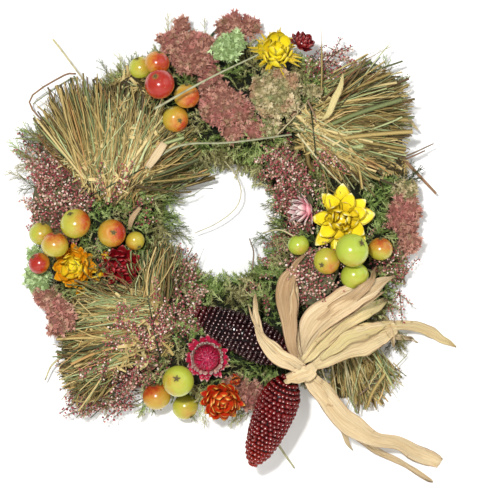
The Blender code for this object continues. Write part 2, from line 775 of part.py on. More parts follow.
def build_flower(bench, root, materials, row, finish):
    name, clock, out, radius, lean, opening = row
    shape = turned(flower_profile(radius, opening), FLOWER_SIDES)
    piece = make_piece(name, shape, materials[finish], root, on_ring(clock, out), facing(clock, lean))
    lay(bench, [piece], edge_level(out, radius))


def edge_level(out, radius):
    """Heads that reach past the moss are held off the door by their stems."""
    past = out + radius - MOSS_WIDTH / 2
    return MOSS_HEIGHT * OVERHANG_LEVEL if past > radius else 0.0


def build_apples(bench, root, materials, row):
    cluster, clock, out, members = row
    middle = on_ring(clock, out)
    for number, (right, up, size) in enumerate(members, start=1):
        radius = APPLE_RADIUS * size
        place = middle + Vector((right, 0.0, up)) * APPLE_RADIUS
        turn = facing(clock + APPLE_TURN * number, APPLE_LEAN)
        shape = turned(apple_profile(radius), APPLE_SIDES)
        finish = materials[CLUSTER_FINISHES[cluster]]
        piece = make_piece(f"apple_{cluster}_{number}", shape, finish, root, place, turn)
        lay(bench, [piece])


# Corn

def ear_sections(heading, tilt, butt):
    """A bent stalk from just outside the shank to the butt, then a full ear with a blunt tip."""
    slant = math.radians(tilt)
    along = along_heading(heading) * math.cos(slant) + Vector((0.0, math.sin(slant), 0.0))
    root = butt.normalized() * (SHANK_RADIUS + PIVOT_GAP)
    route = smooth_path((root, root.lerp(butt, STALK_BEND), butt), STALK_STATIONS)
    radii = [STALK_RADIUS] * STALK_STATIONS
    for k in range(1, EAR_RINGS + 1):
        share = (1 - math.cos(math.pi * k / (EAR_RINGS + 1))) / 2
        fullness = (1 - abs(2 * share - 1) ** EAR_BLUNTNESS) ** 0.5
        route.append(butt + along * EAR_LENGTH * share)
        radii.append(EAR_RADIUS * fullness * (1 + EAR_TAPER * (EAR_EVEN - share)))
    route.append(butt + along * EAR_LENGTH)
    radii.append(EAR_RADIUS * EAR_TIP)
    return tapered(route, radii, EAR_SIDES)


def build_ear(bench, root, materials, row):
    """An ear whose parent empty is its pivot, on the shank's axis."""
    name, heading, tilt, right, up, first, last = row
    pivot = make_empty(name.replace("corn_ear", "ear_pivot"), root, on_ring(SHANK_CLOCK, SHANK_OUT))
    shape = lofted(ear_sections(heading, tilt, Vector((right, 0.0, up))))
    finish = materials["corn_dark" if "dark" in name else "corn_red"]
    ear = make_piece(name, shape, finish, pivot)
    steps = round((last - first) / SWING_STEP)
    swings = [first + (last - first) * k / steps for k in range(steps + 1)]
    lay(bench, [ear], MOSS_HEIGHT * EAR_LEVEL, pivot, swings + [0.0])
    return pivot


def build_shank(bench, root, materials, pivots):
    """Post of bunched husk ends, from the moss to just in front of both ears' axes."""
    spot = on_ring(SHANK_CLOCK, SHANK_OUT)
    edge = [math.tau * k / SHANK_SIDES for k in range(SHANK_SIDES)]
    reach = SHANK_RADIUS + SEAT_GAP
    seats = [bench.ground(spot.x + reach * math.cos(a), spot.z + reach * math.sin(a)) for a in edge]
    seat = max(seats + [bench.ground(spot.x, spot.z)]) + SEAT_GAP
    top = max(-pivot.location.y / MM for pivot in pivots) + SHANK_PROUD
    profile = ((0.0, seat), (SHANK_RADIUS, seat), (SHANK_RADIUS, top), (0.0, top))
    turn = Vector((0.0, -1.0, 0.0)).to_track_quat("Z", "Y")
    shank = make_piece("corn_shank", turned(profile, SHANK_SIDES), materials["husk"], root, spot, turn)
    bench.add(*surface_of(shank))
    return top


def build_husk(bench, root, materials, row, level):
    name, stops, widths = row
    spot = on_ring(SHANK_CLOCK, SHANK_OUT)
    path = smooth_path([spot + Vector((right, 0.0, up)) for right, up in stops], HUSK_STATIONS)
    shares = [k * (len(widths) - 1) / (HUSK_STATIONS - 1) for k in range(HUSK_STATIONS)]
    half_widths = []
    for share in shares:
        k = min(int(share), len(widths) - 2)
        half_widths.append((widths[k] + (widths[k + 1] - widths[k]) * (share - k)) / 2)
    thicknesses = [HUSK_THICKNESS] * HUSK_STATIONS
    rings = strip(bench, path, half_widths, thicknesses, HUSK_SECTION, HUSK_SLOPE, level)
    lay(bench, [make_piece(name, lofted(rings), materials["husk"], root)])


def main():
    clear_scene()
    materials = {name: make_material(name) for name in FINISHES}
    bar = straw_bar_place()
    hook_height = bar.z + LOOP_HEIGHT - LOOP_WIRE / 2
    root = make_empty("wreath", None, (0.0, -bar.y, -hook_height))
    bench = Bench()
    build_straw_base(root, materials)
    build_binding_wire(root, materials)
    build_loop_staple(root, materials)
    build_hanging_loop(root, materials)
    coat = build_moss_coat(root, materials)
    bench.add(*surface_of(coat))
    for row in HEATHERS:
        build_heather(bench, root, materials, row)
    for number, row in enumerate(SHEAVES):
        build_sheaf(bench, root, materials, row, number < TIED_SHEAVES)
    for row in SEDUMS:
        build_sedum(bench, root, materials, row)
    for row, finish in zip(FLOWERS, FLOWER_FINISHES):
        build_flower(bench, root, materials, row, finish)
    for row in APPLE_CLUSTERS:
        build_apples(bench, root, materials, row)
    pivots = [build_ear(bench, root, materials, row) for row in EARS]
    top = build_shank(bench, root, materials, pivots)
    for row in HUSKS:
        build_husk(bench, root, materials, row, top + HUSK_LIFT)


main()
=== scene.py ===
# Looks of the harvest door wreath: moss, hay, sedum, heather, strawflowers, apples, corn and husks.
# Places are given in millimetres right of and above the ring's centre, and off the door.
import json
import math
import random

import bmesh
import bpy
from mathutils import Euler, Matrix, Quaternion, Vector, noise
from mathutils.bvhtree import BVHTree


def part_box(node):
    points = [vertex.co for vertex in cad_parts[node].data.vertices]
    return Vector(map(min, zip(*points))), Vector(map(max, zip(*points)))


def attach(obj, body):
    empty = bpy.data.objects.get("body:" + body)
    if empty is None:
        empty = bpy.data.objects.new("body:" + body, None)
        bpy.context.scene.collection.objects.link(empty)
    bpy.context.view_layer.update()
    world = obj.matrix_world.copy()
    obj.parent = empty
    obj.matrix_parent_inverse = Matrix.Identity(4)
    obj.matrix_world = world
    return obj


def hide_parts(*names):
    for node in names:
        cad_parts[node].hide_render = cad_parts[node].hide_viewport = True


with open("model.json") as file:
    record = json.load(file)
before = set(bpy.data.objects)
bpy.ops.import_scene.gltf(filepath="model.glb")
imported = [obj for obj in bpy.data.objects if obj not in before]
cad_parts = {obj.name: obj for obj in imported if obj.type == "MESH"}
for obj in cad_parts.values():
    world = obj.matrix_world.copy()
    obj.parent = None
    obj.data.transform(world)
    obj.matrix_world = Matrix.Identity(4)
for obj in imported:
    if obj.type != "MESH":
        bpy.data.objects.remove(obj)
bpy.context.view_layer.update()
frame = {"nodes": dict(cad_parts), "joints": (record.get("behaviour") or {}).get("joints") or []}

MM = 0.001
MERGE = 0.00001
GOLDEN = math.radians(137.508)
UP = Vector((0.0, 0.0, 1.0))
ORIGIN = Vector((0.0, 0.0, 0.0))
IN_FRONT = 300.0
STRAW_OFF_DOOR = 4.0
RING_RADIUS = 88.0
CENTRE = (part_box("straw_base")[0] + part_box("straw_base")[1]) / 2
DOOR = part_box("straw_base")[1].y + STRAW_OFF_DOOR * MM
TO_DOOR = Vector((0.0, 1.0, 0.0))


# Places

def at(right, up, proud=0.0):
    """A place from millimetres right of and above the ring's centre, and off the door."""
    return Vector((CENTRE.x + right * MM, DOOR - proud * MM, CENTRE.z + up * MM))


def leaning(turn, lift):
    """A direction that runs along the door at a heading and leans off it."""
    return Vector((math.cos(turn), -lift, math.sin(turn))).normalized()


def spun(radius, angle, height=0.0):
    """A point about the Z axis."""
    return Vector((radius * math.cos(angle), radius * math.sin(angle), height))


def across(direction):
    """Two unit vectors that stand square to a direction and to each other."""
    side = direction.orthogonal().normalized()
    return side, direction.normalized().cross(side)


def circle(middle, side, other, radius, count):
    """Points round a middle, in the plane of two unit vectors."""
    return [middle + (side * math.cos(turn) + other * math.sin(turn)) * radius
            for turn in (math.tau * k / count for k in range(count))]


def between(low, high, share):
    return low + (high - low) * share


def shares(count):
    """Numbers spread evenly from 0 to 1."""
    return [k / (count - 1) for k in range(count)]


def way_at(route, k):
    """The way a route runs at one of its points."""
    return route[min(k + 1, len(route) - 1)] - route[max(k - 1, 0)]


def eased(values, reach):
    """Each value as the mean of those within reach of it."""
    parts = (values[max(k - reach, 0):k + reach + 1] for k in range(len(values)))
    return [sum(part) / len(part) for part in parts]


def along_points(points, share):
    """A place along a list of points or numbers, from 0 to 1."""
    spot = min(max(share, 0.0), 1.0) * (len(points) - 1)
    k = min(int(spot), len(points) - 2)
    return between(points[k], points[k + 1], spot - k)


def smooth_route(points, count):
    """Points along a smooth curve through the given ones."""
    ends = [points[0] * 2 - points[1], *points, points[-1] * 2 - points[-2]]
    route = []
    for step in range(count):
        spot = step / (count - 1) * (len(points) - 1)
        k = min(int(spot), len(points) - 2)
        t = spot - k
        a, b, c, d = ends[k:k + 4]
        route.append((b * 2 + (c - a) * t + (a * 2 - b * 5 + c * 4 - d) * t * t
                      + (b * 3 - a - c * 3 + d) * t ** 3) / 2)
    return route


class Ground:
    """The front of some CAD nodes, as it is met by something lowered towards the door."""

    def __init__(self, names):
        points, faces = [], []
        for name in names:
            mesh = frame["nodes"][name].data
            start = len(points)
            points += [corner.co.copy() for corner in mesh.vertices]
            faces += [[start + k for k in face.vertices] for face in mesh.polygons]
        self.tree = BVHTree.FromPolygons(points, faces)

    def proud(self, right, up, missing=None):
        """Millimetres off the door, or what is given where there is nothing."""
        place = self.tree.ray_cast(at(right, up, IN_FRONT), TO_DOOR)[0]
        return missing if place is None else (DOOR - place.y) / MM

    def reach(self, start, direction):
        """How far the surface is from a point inside it."""
        place, _, _, distance = self.tree.ray_cast(start, direction)
        return 0.0 if place is None else distance


def nodes_like(*starts):
    return [name for name in frame["nodes"] if name.startswith(starts)]


# Shapes in the making

def linked(name, data):
    """A new object in the scene."""
    thing = bpy.data.objects.new(name, data)
    bpy.context.scene.collection.objects.link(thing)
    return thing


def removed(*things):
    for thing in things:
        bpy.data.objects.remove(thing)


def marked_mesh(name, points, edges, faces, marks):
    """A mesh with named numbers for each point, or for turn a named vector."""
    mesh = bpy.data.meshes.new(name)
    mesh.from_pydata(points, edges, faces)
    for mark, values in marks.items():
        kind, key = ("FLOAT_VECTOR", "vector") if mark == "turn" else ("FLOAT", "value")
        mesh.attributes.new(mark, kind, "POINT").data.foreach_set(key, values)
    return mesh


class Shape:
    """Points and faces of one mesh, with named numbers kept for each point."""

    def __init__(self):
        self.points = []
        self.faces = []
        self.marks = {}

    def add(self, points, faces, **marks):
        start = len(self.points)
        self.points += points
        self.faces += [tuple(start + k for k in face) for face in faces]
        for name in {**self.marks, **marks}:
            kept = self.marks.setdefault(name, [])
            kept += [0.0] * (start - len(kept))
            value = marks.get(name, 0.0)
            kept += value if isinstance(value, list) else [value] * len(points)

    def loft(self, rings, **marks):
        """Skin over rings that run anticlockwise about their direction, closed at both ends."""
        count = len(rings[0])
        faces = [tuple(reversed(range(count)))]
        for k in range(len(rings) - 1):
            low, high = k * count, (k + 1) * count
            for side in range(count):
                after = (side + 1) % count
                faces.append((low + side, low + after, high + after, high + side))
        last = (len(rings) - 1) * count
        faces.append(tuple(range(last, last + count)))
        self.add([point for ring in rings for point in ring], faces, **marks)

    def spike(self, start, tip, radius, **marks):
        """A three-sided needle."""
        base = circle(start, *across(tip - start), radius, 3)
        self.add([*base, tip], [(0, 2, 1), (0, 1, 3), (1, 2, 3), (2, 0, 3)], **marks)

    def rod(self, route, radii, sides=3, **marks):
        """A round stem along a route."""
        rings = []
        side = across(route[1] - route[0])[0]
        for k, (middle, radius) in enumerate(zip(route, radii)):
            along = way_at(route, k).normalized()
            side = (side - along * side.dot(along)).normalized()
            rings.append(circle(middle, side, along.cross(side), radius, sides))
        self.loft(rings, **marks)

    def bead(self, place, direction, profile, sides, **marks):
        """A turned bead from (radius, height) points, its first and last on the axis."""
        side, other = across(direction)
        along = direction.normalized()
        points = [place + along * profile[0][1]]
        for radius, height in profile[1:-1]:
            points += circle(place + along * height, side, other, radius, sides)
        points.append(place + along * profile[-1][1])
        last = len(points) - 1
        faces = []
        for k in range(sides):
            after = (k + 1) % sides
            faces.append((0, 1 + after, 1 + k))
            for ring in range(len(profile) - 3):
                low = 1 + ring * sides
                faces.append((low + k, low + after, low + sides + after, low + sides + k))
            faces.append((last - sides + k, last - sides + after, last))
        self.add(points, faces, **marks)

    def leaf(self, route, faces_to, halves, thickness, cup, columns, ripple=None, fold=2.0, **marks):
        """A thin closed sheet along a route, from the ways it faces, its half widths and its cupping."""
        rings, across_marks, along_marks = [], [], []
        for k, (middle, up, half) in enumerate(zip(route, faces_to, halves)):
            along = way_at(route, k).normalized()
            up = (up - along * up.dot(along)).normalized()
            side = up.cross(along)
            share = k / (len(route) - 1)
            top, under = [], []
            for column in range(columns + 1):
                t = 1.0 - 2.0 * column / columns
                lift = cup * half * abs(t) ** fold + (ripple(share, t) if ripple else 0.0)
                point = middle + side * half * t + up * lift
                top.append((point, t))
                if 0 < column < columns:
                    under.append((point - up * thickness * (1.0 - t ** 4), t))
            ring = top + under[::-1]
            rings.append([point for point, _ in ring])
            across_marks += [t for _, t in ring]
            along_marks += [share] * len(ring)
        self.loft(rings, across=across_marks, along=along_marks, **marks)

    def moved(self, matrix):
        self.points = [matrix @ point for point in self.points]
        return self

    def object(self, name, finish=None, smooth=True):
        for values in self.marks.values():
            values += [0.0] * (len(self.points) - len(values))
        mesh = marked_mesh(name, self.points, [], self.faces, self.marks)
        if smooth:
            mesh.shade_smooth()
        if finish:
            mesh.materials.append(finish)
        return linked(name, mesh)


def worked(node, cuts, shift):
    """Points and faces of a merged, finer copy of a CAD node, each point moved along its normal by shift."""
    work = bmesh.new()
    work.from_mesh(frame["nodes"][node].data)
    bmesh.ops.remove_doubles(work, verts=work.verts, dist=MERGE)
    if cuts:
        bmesh.ops.subdivide_edges(work, edges=work.edges, cuts=cuts, use_grid_fill=True)
        bmesh.ops.triangulate(work, faces=work.faces)
    work.normal_update()
    points = [corner.co + corner.normal * shift(corner.co) for corner in work.verts]
    faces = [tuple(corner.index for corner in face.verts) for face in work.faces]
    work.free()
    return points, faces


# Node trees, for shaders and for geometry

class Field:
    """A socket whose maths is written as Python expressions."""

    def __init__(self, nodes, socket):
        self.nodes = nodes
        self.socket = socket

    def output(self, name):
        return Field(self.nodes, self.socket.node.outputs[name])

    def maths(self, operation, *values):
        return self.nodes.node("ShaderNodeMath", dict(enumerate(values)), operation=operation)

    def __add__(self, other):
        return self.maths("ADD", self, other)

    def __sub__(self, other):
        return self.maths("SUBTRACT", self, other)

    def __rsub__(self, other):
        return self.maths("SUBTRACT", other, self)

    def __mul__(self, other):
        return self.maths("MULTIPLY", self, other)

    def __pow__(self, other):
        return self.maths("POWER", self, other)

    def __gt__(self, other):
        return self.maths("GREATER_THAN", self, other)

    def __lt__(self, other):
        return self.maths("LESS_THAN", self, other)

    def __abs__(self):
        return self.maths("ABSOLUTE", self)

    def fraction(self):
        return self.maths("FRACT", self)

    def sine(self):
        return self.maths("SINE", self)

    def step(self, low, high):
        """0 below low, 1 above high, and smooth between."""
        return self.nodes.node("ShaderNodeMapRange", {"Value": self, "From Min": low, "From Max": high},
                               interpolation_type="SMOOTHSTEP")

    __radd__ = __add__
    __rmul__ = __mul__


class Nodes:
    """A node tree in the making, to which one method adds any node."""

    def __init__(self, tree):
        self.tree = tree

    def node(self, kind, sockets=None, **settings):
        made = self.tree.nodes.new(kind)
        for name, value in settings.items():
            if name == "stops":
                self.set_stops(made.color_ramp, value)
            else:
                setattr(made, name, value)
        for key, value in (sockets or {}).items():
            socket = made.inputs[key] if isinstance(key, int) else next(
                found for found in made.inputs if found.name == key and found.enabled)
            for one in value if isinstance(value, list) else [value]:
                if isinstance(one, Field):
                    self.tree.links.new(one.socket, socket)
                else:
                    socket.default_value = one
        return Field(self, next((found for found in made.outputs if found.enabled), None))

    @staticmethod
    def set_stops(ramp, stops):
        ramp.elements.remove(ramp.elements[1])
        ramp.elements[0].position, ramp.elements[0].color = stops[0][0], (*stops[0][1], 1.0)
        for position, colour in stops[1:]:
            ramp.elements.new(position).color = (*colour, 1.0)


def tint(red, green, blue):
    """A colour from its 0 to 255 screen values."""
    return tuple(value / 3294.6 if value <= 10 else ((value / 255 + 0.055) / 1.055) ** 2.4
                 for value in (red, green, blue))


def opaque(colour):
    """A colour with its alpha, or the field that makes it."""
    return (*colour, 1.0) if isinstance(colour, tuple) else colour


class Finish(Nodes):
    """A procedural material."""

    def __init__(self, name):
        self.material = bpy.data.materials.new(name)
        self.material.use_nodes = True
        super().__init__(self.material.node_tree)
        self.shader = self.tree.nodes["Principled BSDF"]

    def mark(self, name):
        return self.node("ShaderNodeAttribute", attribute_name=name).output("Fac")

    def place(self):
        return self.node("ShaderNodeTexCoord").output("Object")

    def grain(self, scale, detail=2.0, place=None):
        return self.node("ShaderNodeTexNoise",
                         {"Vector": place or self.place(), "Scale": scale, "Detail": detail})

    def vector(self, x, y, z):
        return self.node("ShaderNodeCombineXYZ", {"X": x, "Y": y, "Z": z})

    def ramp(self, factor, *colours):
        """Colours spread evenly from 0 to 1."""
        stops = [(k / (len(colours) - 1), colour) for k, colour in enumerate(colours)]
        return self.node("ShaderNodeValToRGB", {"Fac": factor}, stops=stops)

    def mix(self, factor, low, high):
        return self.node("ShaderNodeMix", {"Factor": factor, "A": opaque(low), "B": opaque(high)},
                         data_type="RGBA")

    def skin(self, colour, roughness, height, depth, **others):
        """Links the shader: colour, roughness, a bump some millimetres deep, and other sockets by name."""
        values = {"Base Color": opaque(colour), "Roughness": roughness}
        values.update({name.replace("_", " "): value for name, value in others.items()})
        values["Normal"] = self.node("ShaderNodeBump", {"Height": height, "Distance": depth * MM})
        for name, value in values.items():
            if isinstance(value, Field):
                self.tree.links.new(value.socket, self.shader.inputs[name])
            else:
                self.shader.inputs[name].default_value = value
        return self.material


class Pattern(Nodes):
    """A geometry tree with named inputs, ending in Realize Instances and Set Material."""

    def __init__(self, name, **inputs):
        super().__init__(bpy.data.node_groups.new(name, "GeometryNodeTree"))
        self.tree.interface.new_socket("Geometry", in_out="OUTPUT", socket_type="NodeSocketGeometry")
        for given, kind in {"Geometry": "Geometry", **inputs, "Finish": "Material"}.items():
            self.tree.interface.new_socket(given, in_out="INPUT", socket_type="NodeSocket" + kind)
        self.inputs = self.node("NodeGroupInput")

    def given(self, name):
        return self.inputs.output(name)

    def mark(self, name, kind="FLOAT"):
        return self.node("GeometryNodeInputNamedAttribute", {"Name": name}, data_type=kind)

    def chance(self, kind, low, high, seed):
        return self.node("FunctionNodeRandomValue", {"Min": low, "Max": high, "Seed": seed}, data_type=kind)

    def template(self):
        return self.node("GeometryNodeObjectInfo", {"Object": self.given("Template")}).output("Geometry")

    def end(self, geometry):
        real = self.node("GeometryNodeRealizeInstances", {"Geometry": geometry})
        done = self.node("GeometryNodeSetMaterial", {"Geometry": real, "Material": self.given("Finish")})
        self.node("NodeGroupOutput", {"Geometry": done})
        return self.tree


def stalk_pattern():
    """Every line of the carrier becomes a flat or round stalk, from its width and tilt marks."""
    pattern = Pattern("stalks", Sides="Int", Flatness="Float")
    lines = pattern.node("GeometryNodeMeshToCurve", {"Mesh": pattern.given("Geometry")})
    tilted = pattern.node("GeometryNodeSetCurveTilt", {"Curve": lines, "Tilt": pattern.mark("tilt")})
    circle = pattern.node("GeometryNodeCurvePrimitiveCircle", {
        "Resolution": pattern.given("Sides"), "Radius": 1.0})
    scale = pattern.node("ShaderNodeCombineXYZ", {"X": 1.0, "Y": pattern.given("Flatness"), "Z": 1.0})
    section = pattern.node("GeometryNodeTransform", {"Geometry": circle, "Scale": scale})
    stalks = pattern.node("GeometryNodeCurveToMesh", {
        "Curve": tilted, "Profile Curve": section, "Scale": pattern.mark("width"), "Fill Caps": True})
    return pattern.end(stalks)


def copy_pattern():
    """A copy of the template at each point of the carrier, turned and sized by its marks."""
    pattern = Pattern("copies", Template="Object")
    turn = pattern.node("FunctionNodeEulerToRotation", {"Euler": pattern.mark("turn", "FLOAT_VECTOR")})
    copies = pattern.node("GeometryNodeInstanceOnPoints", {
        "Points": pattern.given("Geometry"), "Instance": pattern.template(), "Rotation": turn,
        "Scale": pattern.mark("size")})
    return pattern.end(copies)


def cover_pattern():
    """Copies of the template scattered over the carrier where its cover mark allows, leaning at random."""
    pattern = Pattern("cover", Template="Object", Spacing="Float", Density="Float", Smallest="Float",
                      Largest="Float", Lean="Float", Seed="Int")
    surface = pattern.given("Geometry")
    seed = pattern.given("Seed")
    spots = pattern.node("GeometryNodeDistributePointsOnFaces", {
        "Mesh": surface, "Distance Min": pattern.given("Spacing"), "Density Max": pattern.given("Density"),
        "Density Factor": pattern.mark("cover"), "Seed": seed}, distribute_method="POISSON")
    lean = pattern.given("Lean")
    low = pattern.node("ShaderNodeCombineXYZ", {"X": 0.0 - lean, "Y": 0.0 - lean, "Z": -math.pi})
    high = pattern.node("ShaderNodeCombineXYZ", {"X": lean, "Y": lean, "Z": math.pi})
    loose = pattern.node("FunctionNodeEulerToRotation", {
        "Euler": pattern.chance("FLOAT_VECTOR", low, high, seed)})
    turn = pattern.node("FunctionNodeRotateRotation", {
        "Rotation": spots.output("Rotation"), "Rotate By": loose}, rotation_space="LOCAL")
    copies = pattern.node("GeometryNodeInstanceOnPoints", {
        "Points": spots, "Instance": pattern.template(), "Rotation": turn,
        "Scale": pattern.chance("FLOAT", pattern.given("Smallest"), pattern.given("Largest"), seed)})
    toned = pattern.node("GeometryNodeStoreNamedAttribute", {
        "Geometry": copies, "Name": "tone", "Value": pattern.chance("FLOAT", 0.2, 1.0, seed)},
        data_type="FLOAT", domain="INSTANCE")
    return pattern.end(pattern.node("GeometryNodeJoinGeometry", {"Geometry": [toned, surface]}))


def grown(name, carrier, pattern, **values):
    """The plain mesh that a pattern makes of its carrier, which is then removed."""
    modifier = carrier.modifiers.new("pattern", "NODES")
    modifier.node_group = pattern
    for item in pattern.interface.items_tree:
        if item.in_out == "INPUT" and item.name in values:
            modifier[item.identifier] = values[item.name]
    ready = bpy.context.evaluated_depsgraph_get()
    mesh = bpy.data.meshes.new_from_object(carrier.evaluated_get(ready), preserve_all_data_layers=True,
                                           depsgraph=ready)
    carrier.modifiers.remove(modifier)
    bpy.data.objects.remove(carrier)
    mesh.name = name
    return linked(name, mesh)


class Lines:
    """Lines for the stalk pattern, each with marks for its width, tilt, tone and kind."""

    def __init__(self):
        self.points = []
        self.edges = []
        self.marks = {"width": [], "tilt": [], "tone": [], "kind": []}

    def add(self, route, widths, tilt=0.0, tone=0.5, kind=0.0):
        start = len(self.points)
        self.points += route
        self.edges += [(start + k, start + k + 1) for k in range(len(route) - 1)]
        self.marks["width"] += widths
        for mark, value in (("tilt", tilt), ("tone", tone), ("kind", kind)):
            self.marks[mark] += [value] * len(route)

    def object(self, name, finish, sides=4, flatness=0.35):
        carrier = linked(name + ".lines", marked_mesh(name, self.points, self.edges, [], self.marks))
        return grown(name, carrier, STALKS, Sides=sides, Flatness=flatness, Finish=finish)


class Spots:
    """Points for the copy pattern, each with its turn, size and tone."""

    def __init__(self):
        self.points = []
        self.marks = {"turn": [], "size": [], "tone": []}

    def add(self, place, direction, spin, size, tone):
        turn = direction.to_track_quat("Z", "Y") @ Quaternion(UP, spin)
        self.points.append(place)
        self.marks["turn"] += tuple(turn.to_euler())
        self.marks["size"].append(size)
        self.marks["tone"].append(tone)

    def object(self, name, template, finish):
        carrier = linked(name + ".spots", marked_mesh(name, self.points, [], [], self.marks))
        return grown(name, carrier, COPIES, Template=template, Finish=finish)


def joined(name, pieces):
    """One piece from several meshes."""
    if len(pieces) == 1:
        pieces[0].name = name
        return pieces[0]
    with bpy.context.temp_override(active_object=pieces[0], selected_editable_objects=pieces):
        bpy.ops.object.join()
    pieces[0].name = name
    return pieces[0]


def settle(piece, body, slot, *nodes):
    """Says which body a finished piece rides and which CAD nodes it stands for, which it hides; slot is not
    used.
    """
    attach(piece, body)
    if nodes:
        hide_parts(*nodes)
    return piece


# Finishes

def hay_finish():
    f = Finish("dry_hay")
    tone, kind = f.mark("tone"), f.mark("kind")
    dry = f.ramp(tone, tint(46, 36, 16), tint(102, 84, 40), tint(144, 124, 68), tint(180, 156, 94),
                 tint(210, 190, 132))
    green = f.ramp(tone, tint(38, 42, 20), tint(86, 94, 50), tint(126, 136, 84), tint(166, 176, 120),
                   tint(196, 202, 152))
    warm = f.ramp(tone, tint(60, 38, 16), tint(126, 88, 46), tint(170, 128, 72), tint(202, 166, 104),
                  tint(226, 200, 146))
    colour = f.mix(kind > 0.6, dry, green)
    colour = f.mix(kind > 0.9, colour, warm)
    fleck = f.grain(700.0, 3.0)
    colour = f.mix(fleck.step(0.52, 0.75) * 0.4, colour, tint(96, 76, 40))
    return f.skin(colour, f.grain(300.0) * 0.3 + 0.42, height=fleck, depth=0.12)


def moss_finish():
    f = Finish("moss")
    tone = f.mark("tone")
    patch = f.grain(38.0, 3.0)
    olive = f.ramp(tone, tint(34, 34, 14), tint(81, 79, 36), tint(122, 118, 66), tint(154, 147, 95),
                   tint(194, 188, 136))
    fresh = f.ramp(tone, tint(27, 36, 11), tint(66, 84, 32), tint(99, 122, 52), tint(136, 160, 81),
                   tint(181, 199, 127))
    colour = f.mix(patch.step(0.42, 0.58), olive, fresh)
    return f.skin(colour, 0.85, height=f.grain(900.0), depth=0.2)


def heather_finish():
    """part is 0 on the stem, 1 on a leaf and 2 on a bell; shade differs from bell to bell."""
    f = Finish("heather")
    part, shade, tone = f.mark("part"), f.mark("shade"), f.mark("tone")
    green = f.ramp(tone, tint(50, 47, 27), tint(95, 95, 59), tint(138, 131, 93), tint(169, 158, 124))
    pick = (shade + tone).fraction()
    # The palest, white bells are partly the bells' own pale colour and partly painted highlight.
    bell = f.ramp(pick, tint(110, 46, 44), tint(160, 62, 76), tint(176, 104, 98), tint(206, 158, 142),
                  tint(244, 226, 214))
    colour = f.mix(part > 1.5, green, bell)
    colour = f.mix(part < 0.5, colour, tint(104, 70, 47))
    return f.skin(colour, 0.72, height=f.grain(1200.0), depth=0.1)


def sedum_finish(name, patch_colours, *colours):
    """The pale mark is 1 at the tip of a pod, where the pale colour is the pod's own pale tip with a painted
    highlight on it; the patch colours are its blush, its green and its pale.
    """
    f = Finish(name)
    tone = f.mark("tone")
    base = f.ramp(tone, *colours)
    rose, green, pale = patch_colours
    patch = f.grain(70.0, 3.0)
    speck = f.grain(520.0, 1.0)
    # Low tone marks the heads under the florets, toned dark as painted shade between them; the patches fade
    # out there.
    lit = tone.step(0.1, 0.3)
    colour = f.mix(patch.step(0.5, 0.62) * 0.5 * lit, base, rose)
    colour = f.mix(f.grain(150.0, 2.0).step(0.56, 0.64) * 0.45 * lit, colour, green)
    colour = f.mix(speck.step(0.6, 0.7) * 0.4 * lit, colour, pale)
    # Pale pod tips: the pods' own pale colour and a painted highlight.
    colour = f.mix(f.mark("pale").step(0.45, 0.95) * 0.5, colour, pale)
    return f.skin(colour, 0.7, height=speck, depth=0.15)


def petal_finish(name, outer, inner, tip, edge, tip_from=0.75):
    """Papery bracts: rank is 0 on the outermost and 1 on the innermost."""
    f = Finish(name)
    side, along, rank, shade = (f.mark(mark) for mark in ("across", "along", "rank", "shade"))
    colour = f.mix(rank, outer, inner)
    colour = f.mix(abs(side).step(0.55, 1.0) * 0.55, colour, edge)
    colour = f.mix(along.step(tip_from, 1.0), colour, tip)
    # Darker towards each bract's base: painted shade at the bract bases, deeper on some bracts at random.
    dark = tuple(value * share for value, share in zip(outer, (0.6, 0.42, 0.3)))
    colour = f.mix((1.0 - along.step(0.05, 0.5)) * 0.5 + (shade * 0.2), colour, dark)
    vein = (side * 34.0 + shade * 6.0).sine() * 0.5 + f.grain(500.0) * 0.6
    return f.skin(colour, f.grain(260.0) * 0.25 + 0.2, height=vein, depth=0.12, Coat_Weight=0.5,
                  Coat_Roughness=0.2)


def apple_finish():
    """blush runs from -1 to 1 over the skin; part is 1 on the dry calyx and 2 on the stalk."""
    f = Finish("apple_skin")
    blush, ripe, red, part, pole = (f.mark(mark) for mark in ("blush", "ripe", "red", "part", "pole"))
    ground = f.mix(ripe, tint(164, 184, 62), tint(184, 152, 50))
    cloud = f.grain(110.0, 4.0)
    streak = f.grain(420.0, 2.0)
    flush = (blush * 0.7 + cloud * 1.1 + streak * 0.4 + red * 1.3).step(1.0, 2.5)
    colour = f.mix(flush, ground, tint(188, 78, 26))
    colour = f.mix(flush.step(0.55, 1.0), colour, tint(158, 34, 18))
    dots = f.node("ShaderNodeTexVoronoi", {"Vector": f.place(), "Scale": 420.0})
    colour = f.mix((dots < 0.07) * 0.5, colour, tint(238, 220, 160))
    colour = f.mix((1.0 - pole.step(0.1, 0.32)) * 0.5, colour, tint(150, 150, 60))
    colour = f.mix(part > 0.5, colour, tint(104, 92, 58))
    rough = (part > 0.5) * 0.5 + (1.0 - pole.step(0.3, 0.6)) * 0.5 + f.grain(200.0) * 0.12 + 0.18
    return f.skin(colour, rough, height=f.grain(600.0), depth=0.03, Coat_Weight=pole.step(0.4, 0.7) * 0.2,
                  Coat_Roughness=0.12)


